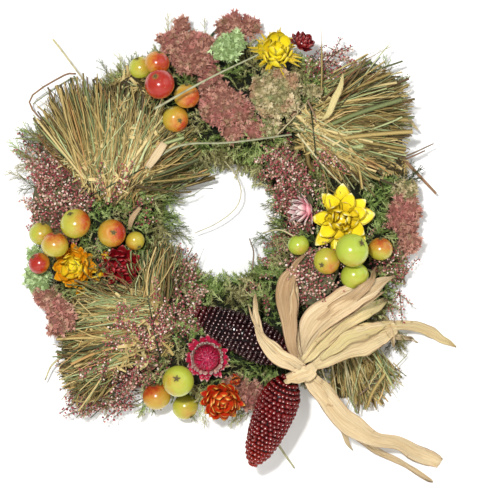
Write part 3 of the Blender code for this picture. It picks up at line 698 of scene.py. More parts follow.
def corn_finish(name, deep, body, end, germ):
    """tone differs between kernels, ending grows towards the ear's end, cap is 1 on a kernel's crown."""
    f = Finish(name)
    tone, ending, cap = f.mark("tone"), f.mark("ending"), f.mark("cap")
    colour = f.mix(tone, deep, body)
    colour = f.mix(ending * 0.8, colour, end)
    colour = f.mix(cap.step(0.4, 0.9) * 0.3, colour, germ)
    # Each kernel's foot, and the core between the kernels, is darkened: painted shade in the gaps between
    # kernels.
    colour = f.mix((1.0 - cap.step(0.0, 0.5)) * 0.8, colour, tuple(value * 0.2 for value in deep))
    # A pale dot on each kernel's crown, stronger on some kernels: a pale silk scar and a painted highlight.
    colour = f.mix(cap.step(0.965, 0.995) * (0.35 + 0.65 * (tone * 7.0).fraction().step(0.3, 0.6)), colour,
                   tint(238, 208, 200))
    return f.skin(colour, f.grain(500.0) * 0.1 + 0.12, height=f.grain(1400.0), depth=0.006,
                  Coat_Weight=0.15, Coat_Roughness=0.15, Specular_IOR_Level=0.2)


def husk_finish():
    """Papery husk with veins along it: across is -1 to 1 over its width, reach its length in centimetres."""
    f = Finish("corn_husk")
    side, reach, shade = f.mark("across"), f.mark("reach"), f.mark("shade")
    lines = f.vector(side * 5.5 + shade * 9.0, reach * 0.28, shade)
    wide = f.grain(2.0, 4.0, lines)
    fine = f.grain(7.0, 3.0, lines)
    vein = (side * 42.0 + fine * 5.0).sine() * 0.5 + 0.5
    colour = f.ramp(wide, tint(156, 126, 86), tint(206, 180, 136), tint(228, 208, 168), tint(246, 234, 206))
    colour = f.mix(abs(side).step(0.8, 1.0) * 0.4, colour, tint(218, 160, 116))
    colour = f.mix((wide * 1.4 + shade).step(1.1, 1.7) * 0.6, colour, tint(226, 214, 134))
    colour = f.mix((1.0 - shade.step(0.0, 0.14)) * 0.75, colour, f.ramp(
        wide, tint(108, 78, 50), tint(152, 114, 76), tint(180, 142, 102), tint(206, 174, 134)))
    colour = f.mix(vein ** 5.0 * 0.22, colour, tint(180, 144, 100))
    spot = f.grain(160.0, 4.0)
    colour = f.mix(spot.step(0.66, 0.74) * 0.5, colour, tint(140, 100, 60))
    return f.skin(colour, wide * 0.3 + 0.38, height=vein * 0.7 + fine, depth=0.22)


def wire_finish():
    f = Finish("green_wire")
    wear = f.grain(420.0, 4.0)
    colour = f.mix(wear.step(0.5, 0.7), tint(52, 62, 42), tint(128, 116, 96))
    return f.skin(colour, wear * 0.5 + 0.2, height=wear, depth=0.05, Metallic=0.8)


def straw_finish():
    """Straw laid round the ring: its grain follows the circle."""
    f = Finish("ring_straw")
    spread = f.node("ShaderNodeSeparateXYZ", {0: f.place()})
    x, y, z = spread.output("X"), spread.output("Y"), spread.output("Z") - CENTRE.z
    turn = x.maths("ARCTAN2", z, x)
    radius = (x * x + z * z) ** 0.5
    lay = f.vector(turn * 5.0, radius * 700.0, y * 700.0)
    stem = f.grain(1.0, 3.0, lay)
    joint = f.grain(1.0, 2.0, f.vector(turn * 40.0, radius * 420.0, y * 420.0))
    colour = f.ramp(stem, tint(70, 50, 24), tint(142, 112, 62), tint(196, 168, 106), tint(226, 204, 150))
    colour = f.mix(joint.step(0.6, 0.7) * 0.5, colour, tint(110, 80, 40))
    return f.skin(colour, stem * 0.3 + 0.4, height=stem, depth=0.8)


def twig_finish():
    """kind is 0 on a grey-green blade, 0.4 on a pale straw, 0.7 on a brown twig and 1 on an orange one."""
    f = Finish("stray_stems")
    kind = f.mark("kind")
    line = f.grain(260.0, 4.0)
    colour = f.ramp(kind, tint(140, 146, 116), tint(196, 186, 140), tint(118, 96, 78), tint(196, 132, 60))
    colour = f.mix(line.step(0.45, 0.7) * 0.45, colour, tint(88, 78, 56))
    return f.skin(colour, line * 0.4 + 0.3, height=line, depth=0.12)


STALKS = stalk_pattern()
COPIES = copy_pattern()
COVER = cover_pattern()
HAY = hay_finish()
MOSS = moss_finish()
HEATHER = heather_finish()
ROSE = sedum_finish("sedum_rose", (tint(172, 84, 90), tint(138, 136, 88), tint(212, 164, 142)),
                    tint(76, 46, 34), tint(134, 84, 68), tint(160, 106, 90), tint(180, 128, 110),
                    tint(200, 154, 134))
MIXED = sedum_finish("sedum_fading", (tint(172, 112, 94), tint(118, 136, 86), tint(204, 186, 140)),
                     tint(64, 56, 30), tint(116, 110, 68), tint(146, 136, 92), tint(172, 158, 114),
                     tint(200, 184, 146))
GREEN = sedum_finish("sedum_green", (tint(146, 168, 108), tint(120, 150, 88), tint(206, 222, 172)),
                     tint(72, 88, 42), tint(130, 152, 92), tint(160, 184, 124), tint(182, 206, 146),
                     tint(204, 224, 170))
APPLE = apple_finish()
HUSK = husk_finish()
TWIG = twig_finish()


def in_metres(profile):
    return [(radius * MM, height * MM) for radius, height in profile]


# Templates of what repeats, each standing on +Z

FROND_LENGTH = 9.0
FROND_NEEDLES = 17
JUNIPER_LENGTH = 26.0
JUNIPER_SHOOTS = 6
JUNIPER_NEEDLE_GAP = 1.15
HEATHER_LENGTH = 23.0
BELL = ((0.0, 0.0), (0.62, 0.55), (0.5, 1.35), (0.0, 1.1))
KERNEL = ((0.0, -1.2), (1.4, -0.9), (1.9, 0.4), (1.86, 1.4), (1.45, 2.15), (0.8, 2.6), (0.34, 2.76),
          (0.0, 2.8))
KERNEL_SIDES = 7


def moss_frond(seed):
    """A feathery frond of moss: a bent stem with needles to both sides."""
    draw = random.Random(seed)
    shape = Shape()
    length = FROND_LENGTH * MM
    bend = draw.uniform(0.15, 0.45)
    route = [Vector((bend * length * t * t, 0.0, length * t)) for t in (0.0, 0.3, 0.6, 0.85, 1.0)]
    shape.rod(route, [0.28 * MM, 0.24 * MM, 0.2 * MM, 0.15 * MM, 0.08 * MM], 3)
    for k in range(FROND_NEEDLES):
        t = 0.15 + 0.85 * k / (FROND_NEEDLES - 1)
        start = along_points(route, t)
        reach = between(3.4, 1.8, t) * draw.uniform(0.7, 1.25) * MM
        side = spun(1.0, GOLDEN * k + draw.uniform(-0.4, 0.4), draw.uniform(0.7, 1.6)).normalized()
        shape.spike(start, start + side * reach, 0.3 * MM)
    return shape.object(f"frond.{seed}", smooth=False)


def juniper_sprig(seed):
    """A longer sprig with side shoots and stiff needles, for the outline."""
    draw = random.Random(seed)
    shape = Shape()
    length = JUNIPER_LENGTH * MM
    main = [Vector((0.12 * length * t * t, 0.0, length * t)) for t in shares(5)]
    shoots = [main]
    for k in range(JUNIPER_SHOOTS):
        start = along_points(main, 0.2 + 0.12 * k)
        away = spun(0.75, GOLDEN * k * 1.7, 1.0).normalized()
        reach = between(0.5, 0.25, k / (JUNIPER_SHOOTS - 1)) * length
        shoots.append([start + away * reach * t for t in (0.0, 0.35, 0.7, 1.0)])
    for route in shoots:
        shape.rod(route, [0.3 * MM * between(1.0, 0.4, t) for t in shares(len(route))], 3)
        whole = route[-1] - route[0]
        ahead = whole.normalized()
        side, other = across(ahead)
        count = int(whole.length / (JUNIPER_NEEDLE_GAP * MM))
        for k in range(count):
            start = along_points(route, 0.1 + 0.9 * k / count)
            turn = GOLDEN * k
            out = side * math.cos(turn) + other * math.sin(turn) + ahead * draw.uniform(0.8, 1.6)
            shape.spike(start, start + out.normalized() * draw.uniform(2.2, 3.4) * MM, 0.33 * MM)
    return shape.object(f"juniper.{seed}", smooth=False)


def heather_sprig(seed, long=HEATHER_LENGTH, leaves=42, bells=15):
    """A heather shoot: woody stem, scale leaves, and bells over its upper part."""
    draw = random.Random(seed)
    shape = Shape()
    length = long * MM
    lean = draw.uniform(-0.2, 0.2)
    route = [Vector((lean * length * t * t, 0.05 * length * math.sin(4 * t), length * t))
             for t in shares(5)]
    shape.rod(route, [between(0.4, 0.15, t) * MM for t in shares(5)], 3, part=0.0)
    for k in range(leaves):
        start = along_points(route, 0.08 + 0.92 * k / (leaves - 1))
        out = spun(1.0, GOLDEN * k, 1.3).normalized()
        shape.spike(start, start + out * draw.uniform(1.5, 2.4) * MM, 0.3 * MM, part=1.0)
    for k in range(bells):
        start = along_points(route, 0.3 + 0.68 * k / (bells - 1))
        out = spun(1.0, GOLDEN * k + 1.0, draw.uniform(0.0, 0.9)).normalized()
        size = draw.uniform(0.85, 1.25)
        shape.bead(start + out * 1.0 * MM, out, [(r * MM * size, h * MM * size) for r, h in BELL], 5,
                   part=2.0, shade=draw.random())
    return shape.object(f"heather.{seed}", smooth=False)


def sedum_floret():
    """Five pointed seed pods that stand in a star on a short stalk, pale at their tips."""
    shape = Shape()
    seat = Vector((0.0, 0.0, 0.7 * MM))
    shape.spike(Vector((0.0, 0.0, -1.2 * MM)), seat * 2.0, 0.45 * MM, pale=[0.0, 0.0, 0.0, 0.5])
    for k in range(5):
        pod = spun(1.5, math.tau * k / 5 + 0.3 * math.sin(5 * k), 1.5 + 0.5 * math.cos(3 * k)) * MM
        shape.spike(seat * 0.3, seat + pod, 0.62 * MM, pale=[0.0, 0.0, 0.0, 1.0])
    return shape.object("floret", smooth=False)


def fading_sprout():
    """A small open rosette of fleshy leaves on a short stalk."""
    shape = Shape()
    draw = random.Random(9)
    for k in range(7):
        out = spun(1.0, GOLDEN * k, draw.uniform(0.2, 1.6)).normalized()
        up = (UP - out * out.z).normalized()
        reach = draw.uniform(2.0, 3.4) * MM
        route = [out * reach * t for t in (0.05, 0.6, 1.0)]
        shape.leaf(route, [up] * 3, [0.35 * MM, 0.75 * MM, 0.12 * MM], 0.4 * MM, 0.3, 2)
    return shape.object("sprout", smooth=False)


def corn_kernel():
    """A pointed, glossy popcorn kernel."""
    shape = Shape()
    crown = KERNEL[-1][1]
    caps = [0.0] + [height / crown for _, height in KERNEL[1:-1] for _ in range(KERNEL_SIDES)] + [1.0]
    shape.bead(ORIGIN, UP, in_metres(KERNEL), KERNEL_SIDES, cap=caps)
    return shape.object("kernel")


# Moss round the straw

FROND_SETS = 5
FRONDS = {"Spacing": 3.9 * MM, "Density": 75000.0, "Smallest": 0.65, "Largest": 1.25, "Lean": 0.95}
BARE_BELOW = 7.0
COVER_UNDER_DRESSING = 0.12
SPRIG_ROOT = 12.0
SPRIGS = (
    # right, up, heading in degrees, how many, length share
    (-36, 132, 95, 5, 0.6), (-22, 134, 70, 5, 0.6), (-65, 110, 110, 7, 0.8), (-80, 104, 130, 5, 0.7),
    (-134, 62, 125, 8, 1.0), (-142, 48, 140, 6, 0.9), (-138, 30, 165, 5, 0.8), (60, 112, 60, 5, 0.7),
    (118, 102, 45, 7, 0.8), (128, 92, 20, 6, 0.8), (132, 30, 10, 6, 0.9), (128, 8, -10, 5, 0.8),
    (-38, 12, -20, 8, 0.8), (-34, -4, -30, 8, 0.8), (0, 50, -80, 6, 0.7), (20, 52, -95, 6, 0.7),
    (-14, 48, -60, 6, 0.7), (38, -40, 130, 8, 0.8), (46, -34, 120, 6, 0.8), (28, -58, 150, 6, 0.8),
    (120, -60, -20, 6, 0.8), (128, -82, -80, 7, 0.9), (-20, -140, -95, 6, 0.6), (14, -142, -110, 6, 0.7),
    (-98, -128, -120, 6, 0.7), (-60, -134, -95, 6, 0.7), (40, -10, 170, 6, 0.8), (46, 10, 175, 6, 0.8),
    (72, 30, 250, 6, 0.7), (96, 30, 280, 6, 0.7), (106, -6, 300, 6, 0.7), (66, -70, 60, 6, 0.7),
)


def build_moss():
    """A lumpy bed over the straw, with fronds where it shows."""
    dressing = Ground(nodes_like("hay", "sedum", "heather", "apple", "strawflower", "husk", "corn"))

    def lumps(place):
        return (noise.noise(place * 160.0) * 2.2 + noise.noise(place * 520.0) * 1.1 - 0.6) * MM

    points, faces = worked("moss_coat", 2, lumps)
    cover = []
    for point in points:
        right, up = (point.x - CENTRE.x) / MM, (point.z - CENTRE.z) / MM
        low = (DOOR - point.y) / MM < BARE_BELOW
        hidden = dressing.proud(right, up) is not None
        cover.append(0.0 if low else COVER_UNDER_DRESSING if hidden else 1.0)
    bed = Shape()
    bed.add(points, faces, cover=cover)
    for turn in range(FROND_SETS):
        frond = moss_frond(turn)
        piece = grown(f"moss_{turn + 1}", bed.object(f"moss_bed.{turn}"), COVER, Template=frond,
                      Seed=turn + 11, Finish=MOSS, **FRONDS)
        removed(frond)
        if turn:
            drop_carrier(piece, len(points))
            settle(piece, "wreath", "moss")
        else:
            settle(piece, "wreath", "moss", "moss_coat")


def build_sprigs():
    """Juniper sprigs that stand out of the moss round its edges."""
    ground = Ground(["moss_coat", "straw_base"])
    template = juniper_sprig(3)
    spots = Spots()
    draw = random.Random(5)
    for right, up, heading, count, size in SPRIGS:
        for _ in range(count):
            x, z = right + draw.gauss(0, 5.0), up + draw.gauss(0, 5.0)
            proud = ground.proud(x, z, 14.0) + draw.uniform(-3.0, 6.0)
            turn = math.radians(heading + draw.gauss(0, 24.0))
            direction = leaning(turn, draw.uniform(0.1, 0.55))
            start = at(x, z, proud) - direction * SPRIG_ROOT * MM * size
            spots.add(start, direction, draw.uniform(0, math.tau), size * draw.uniform(0.7, 1.1),
                      draw.uniform(0.15, 1.0))
    settle(spots.object("moss_sprigs", template, MOSS), "wreath", "moss")
    removed(template)


def drop_carrier(piece, count):
    """Takes the bed's own points out of a piece, where another piece already has them."""
    work = bmesh.new()
    work.from_mesh(piece.data)
    work.verts.ensure_lookup_table()
    total = len(work.verts)
    bmesh.ops.delete(work, geom=[work.verts[k] for k in range(total - count, total)], context="VERTS")
    work.to_mesh(piece.data)
    work.free()


# Hay

FANS = (
    # sheaf, blades, their middle tone, then the root and tip of its spokes
    ("upper_left", 1250, 0.58, (
        ((-100, 30), (-133, 72)), ((-97, 33), (-122, 92)), ((-90, 28), (-105, 102)), ((-81, 22), (-83, 99)),
        ((-75, 20), (-60, 92)),
        ((-72, 19), (-42, 84)), ((-69, 17), (-22, 66)), ((-64, 15), (-10, 41)))),
    ("upper_right", 1150, 0.58, (
        ((60, 87), (106, 114)), ((60, 83), (131, 103)), ((60, 78), (135, 86)), ((60, 72), (134, 67)),
        ((59, 67), (128, 46)), ((59, 62), (112, 34)), ((59, 60), (89, 27)))),
    ("lower_left", 1100, 0.58, (
        ((-47, -56), (-92, -45)), ((-50, -58), (-110, -64)), ((-57, -74), (-114, -79)),
        ((-61, -86), (-115, -90)),
        ((-71, -96), (-117, -105)), ((-76, -110), (-114, -119)), ((-82, -116), (-107, -126)))),
    ("lower_right", 360, 0.78, (
        ((87, -92), (90, -128)), ((94, -92), (104, -138)), ((100, -92), (114, -135)),
        ((106, -90), (127, -119)))),
)
TUFT = (((-49, -62), (-57, -28)), ((-47, -64), (-49, -16)), ((-43, -64), (-35, -16)))
TUFT_BLADES = 260
TUFT_TONE = 0.6
CHIPS = {"Spacing": 5.0 * MM, "Density": 60000.0, "Smallest": 0.6, "Largest": 1.15, "Lean": 0.35}
STACK_DEPTH = 8.0
BLADE_POINTS = 7
BLADE_FALL = 2.5
PAST_EDGE_FALL = 1.5
NO_GROUND = 30.0
STRAGGLERS = 0.24
BENT_BLADES = 0.35
WIDE_BLADES = 0.1
BLADE_HALF = 0.34
WIDEST_FINE = 1.2


def blade_line(draw, root, tip):
    """Where one blade runs, in millimetres right and up: it starts and ends unevenly, and bows."""
    way = tip - root
    start = root + way * draw.uniform(-0.12, 0.5)
    end = root + way * draw.uniform(0.66, 1.06)
    side = Vector((-way.y, way.x)).normalized()
    start += side * draw.gauss(0, 3.0)
    end += side * draw.gauss(0, 5.0)
    if draw.random() < STRAGGLERS:
        start += side * draw.gauss(0, 8.0)
        end += side * draw.gauss(0, 12.0)
    bow = side * draw.gauss(0, 5.0 if draw.random() < BENT_BLADES else 1.6)
    return [start + (end - start) * t + bow * math.sin(math.pi * t) for t in shares(BLADE_POINTS)]


def blade_heights(ground, line):
    """How far off the door a blade lies: on the ground, but it falls no faster than it can bend."""
    heights = []
    for spot in line:
        found = ground.proud(spot.x, spot.y)
        if found is None:
            found = heights[-1] - PAST_EDGE_FALL if heights else NO_GROUND
        heights.append(max(found, heights[-1] - BLADE_FALL) if heights else found)
    return eased(heights, 1)


def hay_blades(lines, ground, spokes, count, tone_middle, seed):
    """Blades that fan out from their roots and lie over the ground in layers."""
    draw = random.Random(seed)
    roots = [Vector(root) for root, _ in spokes]
    tips = [Vector(tip) for _, tip in spokes]
    for _ in range(count):
        share = draw.random()
        root = along_points(roots, share)
        line = blade_line(draw, root, along_points(tips, share + draw.gauss(0, 0.05)))
        layer = STACK_DEPTH * draw.random() ** 1.6
        heights = blade_heights(ground, line)
        rise = draw.uniform(-0.5, 2.2)
        places = [at(spot.x, spot.y, height - layer + 0.8 + rise * t ** 2)
                  for spot, height, t in zip(line, heights, shares(BLADE_POINTS))]
        if draw.random() < WIDE_BLADES:
            half = draw.uniform(0.9, 1.9) * MM
        else:
            half = min(WIDEST_FINE, BLADE_HALF * math.exp(abs(draw.gauss(0, 0.6)))) * MM
        # Blades lying deeper in the stack are made darker: painted shade under the blades above.
        tone = min(1.0, max(0.08, draw.gauss(tone_middle, 0.24) - layer * 0.045))
        cut = draw.choice((1.0, 1.0, 0.3))
        widths = [half] * (BLADE_POINTS - 2) + [half * cut] * 2
        lines.add(places, widths, draw.uniform(0, math.pi), tone, draw.random())


def hay_chip(seed):
    """A few short broken straws and leaf bits that lie crossed, almost flat."""
    draw = random.Random(seed)
    shape = Shape()
    for k in range(6):
        turn = draw.uniform(0, math.tau)
        half = draw.uniform(3.5, 8.0)
        middle = spun(draw.uniform(0.0, 2.5), draw.uniform(0, math.tau), draw.uniform(1.2, 3.0))
        sag = draw.uniform(-0.8, 1.2)
        route = [(middle + spun(half * t, turn, sag * (t * t - 0.5))) * MM for t in (-1.0, 0.0, 1.0)]
        kind = draw.random()
        if k < 4:
            shape.rod(route, [draw.uniform(0.25, 0.45) * MM] * 3, 3, kind=kind)
        else:
            half_width = draw.uniform(0.6, 1.3) * MM
            shape.leaf(route, [UP] * 3, [half_width * 0.8, half_width, half_width * 0.3],
                       0.2 * MM, 0.3, 2, kind=kind)
    return shape.object(f"hay_chip.{seed}", smooth=False)


def build_hay():
    """Each sheaf: loose blades over a core that is strewn with chips and toned dark, as painted shade between
    the blades.
    """
    ground = Ground(nodes_like("hay", "moss", "straw"))
    templates = [hay_chip(31), hay_chip(32)]
    for place, count, tone, spokes in FANS:
        name, node = "hay_" + place, "hay_sheaf_" + place
        lines = Lines()
        hay_blades(lines, ground, spokes, count, tone, name)
        if place == "lower_left":
            hay_blades(lines, ground, TUFT, TUFT_BLADES, TUFT_TONE, "tuft")
        pieces = [lines.object(name + ".blades", HAY, flatness=0.25)]
        points, faces = worked(node, 1, lambda spot: (noise.noise(spot * 300.0) * 1.2 - 3.4) * MM)
        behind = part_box(node)[1].y - 4.0 * MM
        core = Shape()
        # The core's low tone paints it dark: painted shade seen through the gaps between the blades.
        core.add(points, faces, tone=0.14, kind=0.2,
                 cover=[0.0 if spot.y > behind else 1.0 for spot in points])
        for seed, template in enumerate(templates):
            pieces.append(grown(f"{name}.chips.{seed}", core.object(f"{name}.core.{seed}"), COVER,
                                Template=template, Seed=seed + 3, Finish=HAY, **CHIPS))
        drop_carrier(pieces[-1], len(points))
        settle(joined(name, pieces), "wreath", "hay", node)
    removed(*templates)


# Heather

PATCHES = (
    # sprigs over the CAD node of that name, where there is one, then its patches:
    # right, up, half length, half width, heading, count
    ("heather_left", (
        (-128, 38, 18, 9, 130, 26), (-122, 16, 20, 12, 100, 30), (-104, 2, 14, 12, 80, 22),
        (-84, 22, 9, 22, 95, 22), (-96, -32, 16, 9, 60, 22), (-62, 4, 10, 8, 60, 8))),
    ("heather_lower_left", (
        (-34, -66, 18, 16, 70, 76), (-24, -82, 12, 12, 10, 30), (-56, -84, 16, 14, 150, 56),
        (-46, -106, 14, 10, 200, 22), (-86, -102, 16, 7, 200, 14), (-84, -132, 22, 5, 185, 30),
        (-84, -120, 20, 7, 190, 34), (-32, -36, 8, 12, 60, 14), (0, -132, 10, 8, 255, 16),
        (-64, -118, 8, 6, 200, 10))),
    ("heather_inner_right", (
        (44, 54, 14, 12, 250, 26), (52, 34, 16, 12, 265, 34), (54, 10, 12, 9, 250, 22),
        (50, -14, 9, 7, 220, 14), (66, 44, 8, 14, 300, 14))),
    ("heather_lower_right", (
        (48, -44, 14, 12, 150, 28), (68, -44, 14, 12, 90, 24), (38, -66, 12, 9, 120, 20),
        (124, -66, 12, 10, 290, 20), (126, -44, 12, 6, 60, 14), (112, -32, 8, 7, 0, 12),
        (108, -6, 8, 8, 20, 8))),
    ("heather_top", (
        (72, 116, 16, 8, 20, 26), (92, 108, 12, 7, 0, 16), (60, 104, 8, 6, 160, 8))),
)


SHORT_SPRIGS = {"Spacing": 2.7 * MM, "Density": 260000.0, "Smallest": 0.7, "Largest": 1.15, "Lean": 1.2}
SHORT_LENGTH = 12.0
SHORT_LEAVES = 16
SHORT_BELLS = 8
SPRIG_REACH = 14
SUNK = 8.0
NO_BED = 20.0


def heather_spots(sets, patch, draw, ground, blooms):
    """Places sprigs over a patch, except those that would cross a fruit, a flower, an ear or a husk."""
    right, up, long, wide, heading, count = patch
    ahead = math.radians(heading)
    for _ in range(count):
        away, over = draw.uniform(-long, long), draw.uniform(-wide, wide)
        x = right + away * math.cos(ahead) - over * math.sin(ahead)
        z = up + away * math.sin(ahead) + over * math.cos(ahead)
        turn = ahead + draw.gauss(0, 0.45)
        ends = ((x + SPRIG_REACH * t * math.cos(turn), z + SPRIG_REACH * t * math.sin(turn))
                for t in (0.0, 0.6, 1.0))
        if any(blooms.proud(*end) is not None for end in ends):
            continue
        direction = leaning(turn, draw.uniform(0.1, 0.6))
        place = at(x, z, ground.proud(x, z, NO_BED) - draw.uniform(0.0, 3.0)) - direction * SUNK * MM
        draw.choice(sets).add(place, direction, draw.uniform(0, math.tau), draw.uniform(0.75, 1.15),
                              draw.random())


def build_heather():
    """Long sprigs over patches, and a mat of short ones on each CAD node."""
    ground = Ground(nodes_like("hay", "moss", "straw", "heather", "sedum"))
    blooms = Ground(nodes_like("apple", "strawflower", "corn", "husk"))
    templates = [heather_sprig(seed) for seed in (21, 22, 23)]
    short = heather_sprig(24, SHORT_LENGTH, SHORT_LEAVES, SHORT_BELLS)
    for node, patches in PATCHES:
        name = node + "_sprigs"
        draw = random.Random(name)
        sets = [Spots() for _ in templates]
        for patch in patches:
            heather_spots(sets, patch, draw, ground, blooms)
        pieces = [spots.object(f"{name}.{k}", template, HEATHER)
                  for k, (spots, template) in enumerate(zip(sets, templates)) if spots.points]
        nodes = nodes_like(node)
        if nodes:
            core = Shape()
            points, faces = worked(node, 2, lambda place: (noise.noise(place * 260.0) * 1.8 - 2.8) * MM)
            tones = [0.1 + 0.45 * abs(noise.noise(point * 700.0)) for point in points]
            core.add(points, faces, tone=tones, part=1.0, cover=1.0)
            pieces.append(grown(node + ".mat", core.object(node + ".core"), COVER, Template=short, Seed=5,
                                Finish=HEATHER, **SHORT_SPRIGS))
        settle(joined(name, pieces), "wreath", "heather", *nodes)
    removed(*templates, short)


# Sedum

HEADS = {
    "rose_lower": ROSE, "rose_upper": ROSE, "middle": MIXED, "peak": ROSE, "green_upper": GREEN,
    "right": ROSE,
    "green_left": GREEN, "left_low": ROSE, "bottom": ROSE,
}
UMBELS = (
    # right, up, radius, proud, finish
    (-38, 130, 9, 28, ROSE), (-30, 142, 7, 24, ROSE), (-8, 102, 10, 40, ROSE), (8, 66, 9, 42, ROSE),
    (14, 80, 10, 44, ROSE), (46, 84, 10, 44, MIXED), (56, 74, 9, 42, MIXED), (34, 68, 9, 40, MIXED),
    (24, 66, 9, 40, ROSE), (50, 98, 9, 40, MIXED), (20, 142, 8, 22, ROSE), (8, 146, 8, 20, ROSE),
    (132, 22, 9, 28, MIXED), (136, -14, 9, 24, ROSE), (134, 10, 9, 30, ROSE), (-128, -54, 9, 24, ROSE),
    (-116, -76, 8, 40, ROSE), (10, -118, 9, 34, ROSE), (30, -146, 8, 22, ROSE), (44, -122, 8, 26, ROSE),
    (-4, 84, 9, 42, ROSE), (40, 104, 8, 44, MIXED), (64, 92, 7, 40, MIXED), (9, 129, 8, 46, GREEN),
    (-2, 124, 6, 42, GREEN), (-136, -24, 7, 22, GREEN),
)


FLORETS = {"Spacing": 1.75 * MM, "Density": 420000.0, "Smallest": 0.6, "Largest": 1.45, "Lean": 0.75}
SPROUTS = {"Spacing": 2.1 * MM, "Density": 300000.0, "Smallest": 0.6, "Largest": 1.5, "Lean": 0.8}
DOME_RINGS = 9
DOME_SIDES = 22


def umbel_lumps(place):
    """Small rounded heads, with creases between them."""
    near, after = noise.voronoi(place * 130.0)[0][:2]
    return (min(after - near, 0.6) * 7.0 - 4.0 + noise.noise(place * 420.0)) * MM


def dome(shape, place, radius):
    """A lumpy little sedum head facing away from the door."""
    profile = []
    for k in range(DOME_RINGS + 1):
        turn = math.pi * (1.0 - k / DOME_RINGS)
        flat = 0.75 if k > DOME_RINGS / 2 else 0.5
        profile.append((math.sin(turn) * radius, math.cos(turn) * radius * flat))
    start = len(shape.points)
    # The dome's low tone is painted shade between its florets.
    shape.bead(place, -TO_DOOR, profile, DOME_SIDES, cover=1.0, tone=0.2)
    for k in range(start, len(shape.points)):
        point = shape.points[k]
        shape.points[k] = point + (point - place).normalized() * (umbel_lumps(point) + 1.0 * MM)


def build_sedum():
    """The CAD heads and small heads between them, covered in florets, or in sprouts where they fade."""
    floret, sprout = sedum_floret(), fading_sprout()

    def flowered(name, shape, finish, seed, *nodes):
        template, cover = (sprout, SPROUTS) if finish is MIXED else (floret, FLORETS)
        piece = grown(name, shape.object(name + ".head"), COVER, Template=template, Seed=seed, Finish=finish,
                      **cover)
        settle(piece, "wreath", "sedum_green" if finish is GREEN else "sedum_rose", *nodes)

    for seed, (place, finish) in enumerate(HEADS.items()):
        shape = Shape()
        # The heads take a low tone: painted shade between the florets and sprouts.
        shape.add(*worked("sedum_" + place, 4, umbel_lumps), cover=1.0, tone=0.3 if finish is MIXED else 0.16)
        flowered("sedum_head_" + place, shape, finish, seed, "sedum_" + place)
    for kind, finish in (("rose", ROSE), ("fading", MIXED), ("green", GREEN)):
        shape = Shape()
        for right, up, radius, proud, own in UMBELS:
            if own is finish:
                dome(shape, at(right, up, proud), radius * MM)
        flowered("sedum_fill_" + kind, shape, finish, 40 + len(kind))
    removed(floret, sprout)


# Strawflowers

BRACT_STATIONS = 8
BRACT_THICK = 0.22
FLOWER_FOOT = 6.5
FLOWER_HEART = ((0, -2), (3.5, -0.5), (5.5, 2.5), (5.0, 5), (0, 6.5))
DISC_HEART = ((0, 3), (8.4, 4), (8.0, 5.6), (0, 7.4))
DISC_RINGS = ((8.2, 6.5, 5.0), (5.4, 5.0, 5.8), (2.8, 3.4, 6.4))
COLLAR_RINGS = ((2.6, 0.0), (3.4, 0.1))


def bracts(shape, count, foot, height, length, half, opening, curl, rank, draw, cup=0.3, start=0.0):
    """A ring of bracts about +Z: they leave at the opening angle from the axis and bend by the curl."""
    for k in range(count):
        turn = start + math.tau * k / count + draw.gauss(0, 0.11)
        out = spun(1.0, turn)
        reach = length * draw.uniform(0.82, 1.1) * MM
        broad = draw.uniform(0.8, 1.15)
        tip_over = draw.gauss(0, 7.0)
        twist = draw.gauss(0, 0.35) * out.cross(UP)
        place = out * foot * MM + Vector((0, 0, height * MM))
        route, faces_to, halves = [], [], []
        for t in shares(BRACT_STATIONS):
            angle = math.radians(opening + tip_over + curl * t)
            ahead = out * math.sin(angle) + Vector((0, 0, math.cos(angle)))
            route.append(place)
            faces_to.append(Vector((0, 0, math.sin(angle))) - out * math.cos(angle) + twist * t)
            halves.append(max(half * broad * math.sin(math.pi * (0.14 + 0.84 * t ** 1.15)) ** 0.8, 0.05) * MM)
            place = place + ahead * reach / (BRACT_STATIONS - 1)
        shape.leaf(route, faces_to, halves, BRACT_THICK * MM, cup, 4, rank=rank, shade=draw.random())


